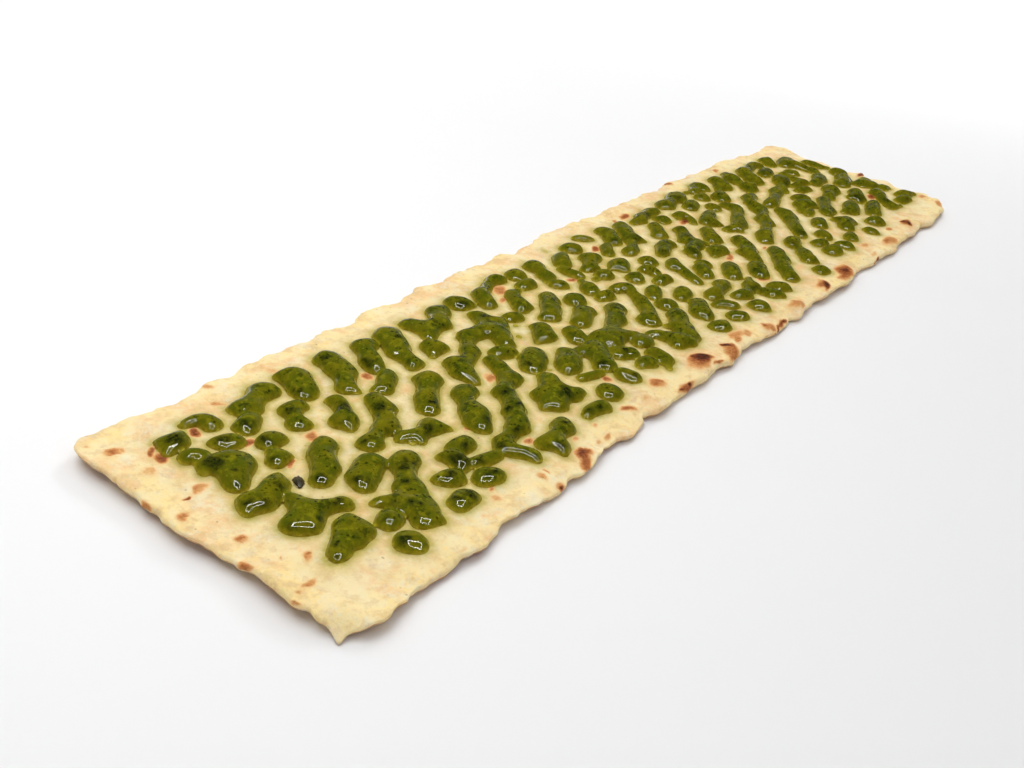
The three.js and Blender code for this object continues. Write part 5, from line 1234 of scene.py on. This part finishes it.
def pesto_material():
    m = Tree("basil_pesto")
    deep, tone = m.attr("deep"), m.attr("tone")
    soft, mid_ = m.noise(6.5, 3, 0.55, (1, 2, 0)), m.noise(2.2, 4, 0.6, (3, 5, 0))
    col = m.mix(m.span(soft, 0.36, 0.64), (0.101, 0.114, 0.0038), (0.175, 0.157, 0.0048))
    col = m.mix(m.span(tone, 0.0, 1.0, 0.0, 0.35, "LINEAR"), col, (0.078, 0.098, 0.0045))
    col = m.mix(m.span(mid_, 0.50, 0.66, 0, 0.80), col, (0.232, 0.216, 0.0070))
    # chopped leaf: dark clots and flecks of several sizes, and paler crumbs of cheese and nut
    clot = m.math("MULTIPLY", m.span(m.noise(2.6, 3, 0.55, (12, 7, 0)), 0.53, 0.64), m.span(m.noise(9, 2, 0.5, (14, 1, 0)), 0.38, 0.60, 0.35, 1.0))
    col = m.mix(m.math("MULTIPLY", clot, 0.75), col, (0.032, 0.044, 0.0030))
    leafy = m.math("MULTIPLY", m.span(m.cells(1.7, (2, 7, 0)), 0.38, 0.18), m.span(m.noise(4.0, 3, 0.6, (5, 1, 0)), 0.45, 0.58))
    col = m.mix(m.math("MULTIPLY", leafy, 0.80), col, (0.016, 0.026, 0.0020))
    small = m.math("MULTIPLY", m.span(m.cells(0.8, (9, 7, 0)), 0.30, 0.14), m.span(m.noise(2.2, 3, 0.6, (8, 1, 0)), 0.46, 0.58))
    col = m.mix(m.math("MULTIPLY", small, 0.75), col, (0.022, 0.032, 0.0025))
    crumb = m.math("MULTIPLY", m.span(m.cells(1.9, (4, 4, 0)), 0.24, 0.10), m.span(m.noise(5.0, 3, 0.6, (2, 8, 0)), 0.50, 0.62))
    col = m.mix(m.math("MULTIPLY", crumb, 0.6), col, (0.300, 0.275, 0.0220))
    # near-black chopped leaf at the table's places, partly painted shade on the drops' lower fronts
    leaf_and_painted_shade = m.math("MULTIPLY", m.attr("leaf_and_painted_shade"), m.span(m.noise(1.1, 3, 0.6, (18, 2, 0)), 0.34, 0.58, 0.60, 1.0))
    col = m.mix(m.math("MULTIPLY", leaf_and_painted_shade, 0.94), col, (0.010, 0.016, 0.0030))
    # where it thins out the oil shows, and the bread under it
    thin = m.math("ADD", deep, m.span(m.noise(1.6, 3, 0.6, (6, 6, 0)), 0.3, 0.7, -0.30, 0.30, "LINEAR"))
    col = m.mix(m.span(thin, 2.2, 1.1, 0, 0.55), col, (0.185, 0.175, 0.0055))
    col = m.mix(m.span(thin, 1.3, 0.40, 0, 0.80), col, (0.330, 0.270, 0.0140))
    col = m.mix(m.span(thin, 0.55, 0.05, 0, 0.90), col, (0.560, 0.460, 0.0600))
    m.set(Base_Color=col)
    m.set(Roughness=m.span(m.noise(1.2, 3, 0.6, (7, 7, 0)), 0.3, 0.7, 0.03, 0.08))
    m.set(IOR=1.46)
    # the film of oil is broken where the surface falls away, so its steep far shoulders stay dark
    m.set(Specular_IOR_Level=m.math("MULTIPLY", m.span(thin, 0.35, 1.6, 0.10, 0.50), m.span(m.facing(), 0.72, 0.88, 1.0, 0.12)))
    m.set(Subsurface_Weight=0.12, Subsurface_Radius=(0.9, 1.0, 0.15), Subsurface_Scale=0.0010)
    n = m.bump(m.noise(2.6, 3, 0.55, (2, 2, 0)), 0.30, 0.09)
    n = m.bump(m.noise(0.7, 3, 0.6, (4, 2, 0)), 0.14, 0.024, n)
    m.set(Normal=n)
    return m.mat


def herb_material():
    m = Tree("basil_scrap")
    col = m.mix(m.span(m.noise(1.0, 4, 0.6), 0.35, 0.65), (0.030, 0.024, 0.011), (0.085, 0.070, 0.032))
    m.set(Base_Color=col, IOR=1.45)
    m.set(Roughness=m.span(m.noise(0.8, 3, 0.6, (3, 3, 0)), 0.3, 0.7, 0.25, 0.55))
    n = m.bump(m.noise(0.5, 3, 0.6), 0.5, 0.08)
    m.set(Normal=n)
    return m.mat


bread_mat, pesto_mat, herb_mat = bread_material(), pesto_material(), herb_material()
bread.data.materials.append(bread_mat)
pesto.data.materials.append(pesto_mat)
herbs.data.materials.append(herb_mat)
for name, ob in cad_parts.items():
    mat = bread_mat if name == "flatbread" else pesto_mat
    if not ob.material_slots:
        ob.data.materials.append(mat)
    for k in range(len(ob.material_slots)):
        ob.material_slots[k].material = mat

puddles = sorted(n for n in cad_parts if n.startswith("pesto"))
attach(bread, "root")
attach(pesto, "root")
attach(herbs, "root")
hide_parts("flatbread")
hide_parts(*puddles)

# --------------------------------------------------------------------------- stage, light and camera

floor_mesh = bpy.data.meshes.new("floor")
floor_mesh.from_pydata([(-4, -4, -0.0001), (4, -4, -0.0001), (4, 4, -0.0001), (-4, 4, -0.0001)], [], [(0, 1, 2, 3)])
floor = bpy.data.objects.new("floor", floor_mesh)
bpy.context.scene.collection.objects.link(floor)
paper = bpy.data.materials.new("floor_paper")
paper.use_nodes = True
bs = paper.node_tree.nodes["Principled BSDF"]
bs.inputs["Base Color"].default_value = (0.90, 0.90, 0.905, 1)
bs.inputs["Roughness"].default_value = 0.7
bs.inputs["Specular IOR Level"].default_value = 0.2
floor_mesh.materials.append(paper)
floor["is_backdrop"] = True

AHEAD = Vector((0.8491, 0.5282, 0.0)).normalized()      # the level direction in which the camera looks
ASIDE = Vector((AHEAD.y, -AHEAD.x, 0.0))                  # and to its right

# a white tent, dim where it shows in gloss: the pesto mirrors mostly the dark opening round the lamp ring
world = bpy.data.worlds.new("tent")
bpy.context.scene.world = world
world.use_nodes = True
wt = world.node_tree
bg = wt.nodes["Background"]
co = wt.nodes.new("ShaderNodeTexCoord")
dot = wt.nodes.new("ShaderNodeVectorMath")
dot.operation = "DOT_PRODUCT"
wt.links.new(co.outputs["Generated"], dot.inputs[0])
dot.inputs[1].default_value = (AHEAD.x * 0.45, AHEAD.y * 0.45, -0.89)
rise = wt.nodes.new("ShaderNodeMapRange")
rise.interpolation_type = "SMOOTHSTEP"
wt.links.new(dot.outputs["Value"], rise.inputs["Value"])
rise.inputs["From Min"].default_value = -0.1
rise.inputs["From Max"].default_value = 0.38
rise.inputs["To Min"].default_value = 0.01
rise.inputs["To Max"].default_value = 0.17
path = wt.nodes.new("ShaderNodeLightPath")
pick = wt.nodes.new("ShaderNodeMix")
pick.data_type = "FLOAT"
wt.links.new(path.outputs["Is Glossy Ray"], pick.inputs["Factor"])
pick.inputs[2].default_value = 0.314
wt.links.new(rise.outputs["Result"], pick.inputs[3])
wt.links.new(pick.outputs[0], bg.inputs["Strength"])
bg.inputs["Color"].default_value = (1.0, 1.0, 1.0, 1)


def panel(name, centre, right, up, size_x, size_y, radiance, gloss=True, matte=True):
    """A flat light panel that faces down along right x up, with the radiance given."""
    light = bpy.data.lights.new(name, "AREA")
    light.shape = "RECTANGLE"
    light.size, light.size_y = size_x, size_y
    light.energy = radiance * math.pi * size_x * size_y
    ob = bpy.data.objects.new(name, light)
    bpy.context.scene.collection.objects.link(ob)
    z = right.cross(up).normalized()
    ob.matrix_world = Matrix((
        (right.x, up.x, z.x, centre.x), (right.y, up.y, z.y, centre.y), (right.z, up.z, z.z, centre.z), (0, 0, 0, 1)))
    ob.visible_glossy, ob.visible_diffuse = gloss, matte
    ob.visible_camera = False
    return ob


# a rectangle of strip lights overhead, a little to the camera's side, whose outline glints in every wet drop
for name, middle, wide, deep, thick, radiance, gloss in (
        ("ring", Vector((-0.11, -0.1, 0.62)), 0.7, 0.6, 0.035, 6.66, False),
        ("glint", Vector((-0.26, -0.19, 0.6)), 0.47, 0.37, 0.032, 28.0, True)):
    for side, off, sx, sy in (
            ("far", AHEAD * deep / 2, wide, thick), ("near", -AHEAD * deep / 2, wide, thick),
            ("left", -ASIDE * wide / 2, thick, deep), ("right", ASIDE * wide / 2, thick, deep)):
        panel(name + "_" + side, middle + off, ASIDE, AHEAD, sx, sy, radiance, gloss=gloss, matte=not gloss)
# soft panels behind and beside the bread, facing down on the paper
X1, Y1 = Vector((1, 0, 0)), Vector((0, 1, 0))
for name, place, radiance in (
        ("soft_far", (0.90, 0.20, 0.70), 13.7), ("soft_back", (0.10, 0.60, 0.40), 1.95),
        ("soft_key", (-0.25, 0.15, 0.42), 1.8)):
    panel(name, Vector(place), X1, Y1, 0.4, 0.4, radiance, gloss=False)

cam = bpy.data.cameras.new("camera")
cam.sensor_fit = "HORIZONTAL"
cam.sensor_width = 36.0
cam.lens = 40.40
cam.clip_start, cam.clip_end = 0.01, 20.0
cam_ob = bpy.data.objects.new("camera", cam)
bpy.context.scene.collection.objects.link(cam_ob)
cam_ob.matrix_world = Matrix((
    (0.59217717, 0.33459599, -0.73305643, -0.378724),
    (-0.79289347, 0.40416539, -0.45603759, -0.181750),
    (0.14368769, 0.8512907, 0.50463649, 0.193001),
    (0, 0, 0, 1)))
bpy.context.scene.camera = cam_ob
bpy.context.scene.view_settings.view_transform = "Standard"
bpy.context.scene.view_settings.look = "None"

lo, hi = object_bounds()
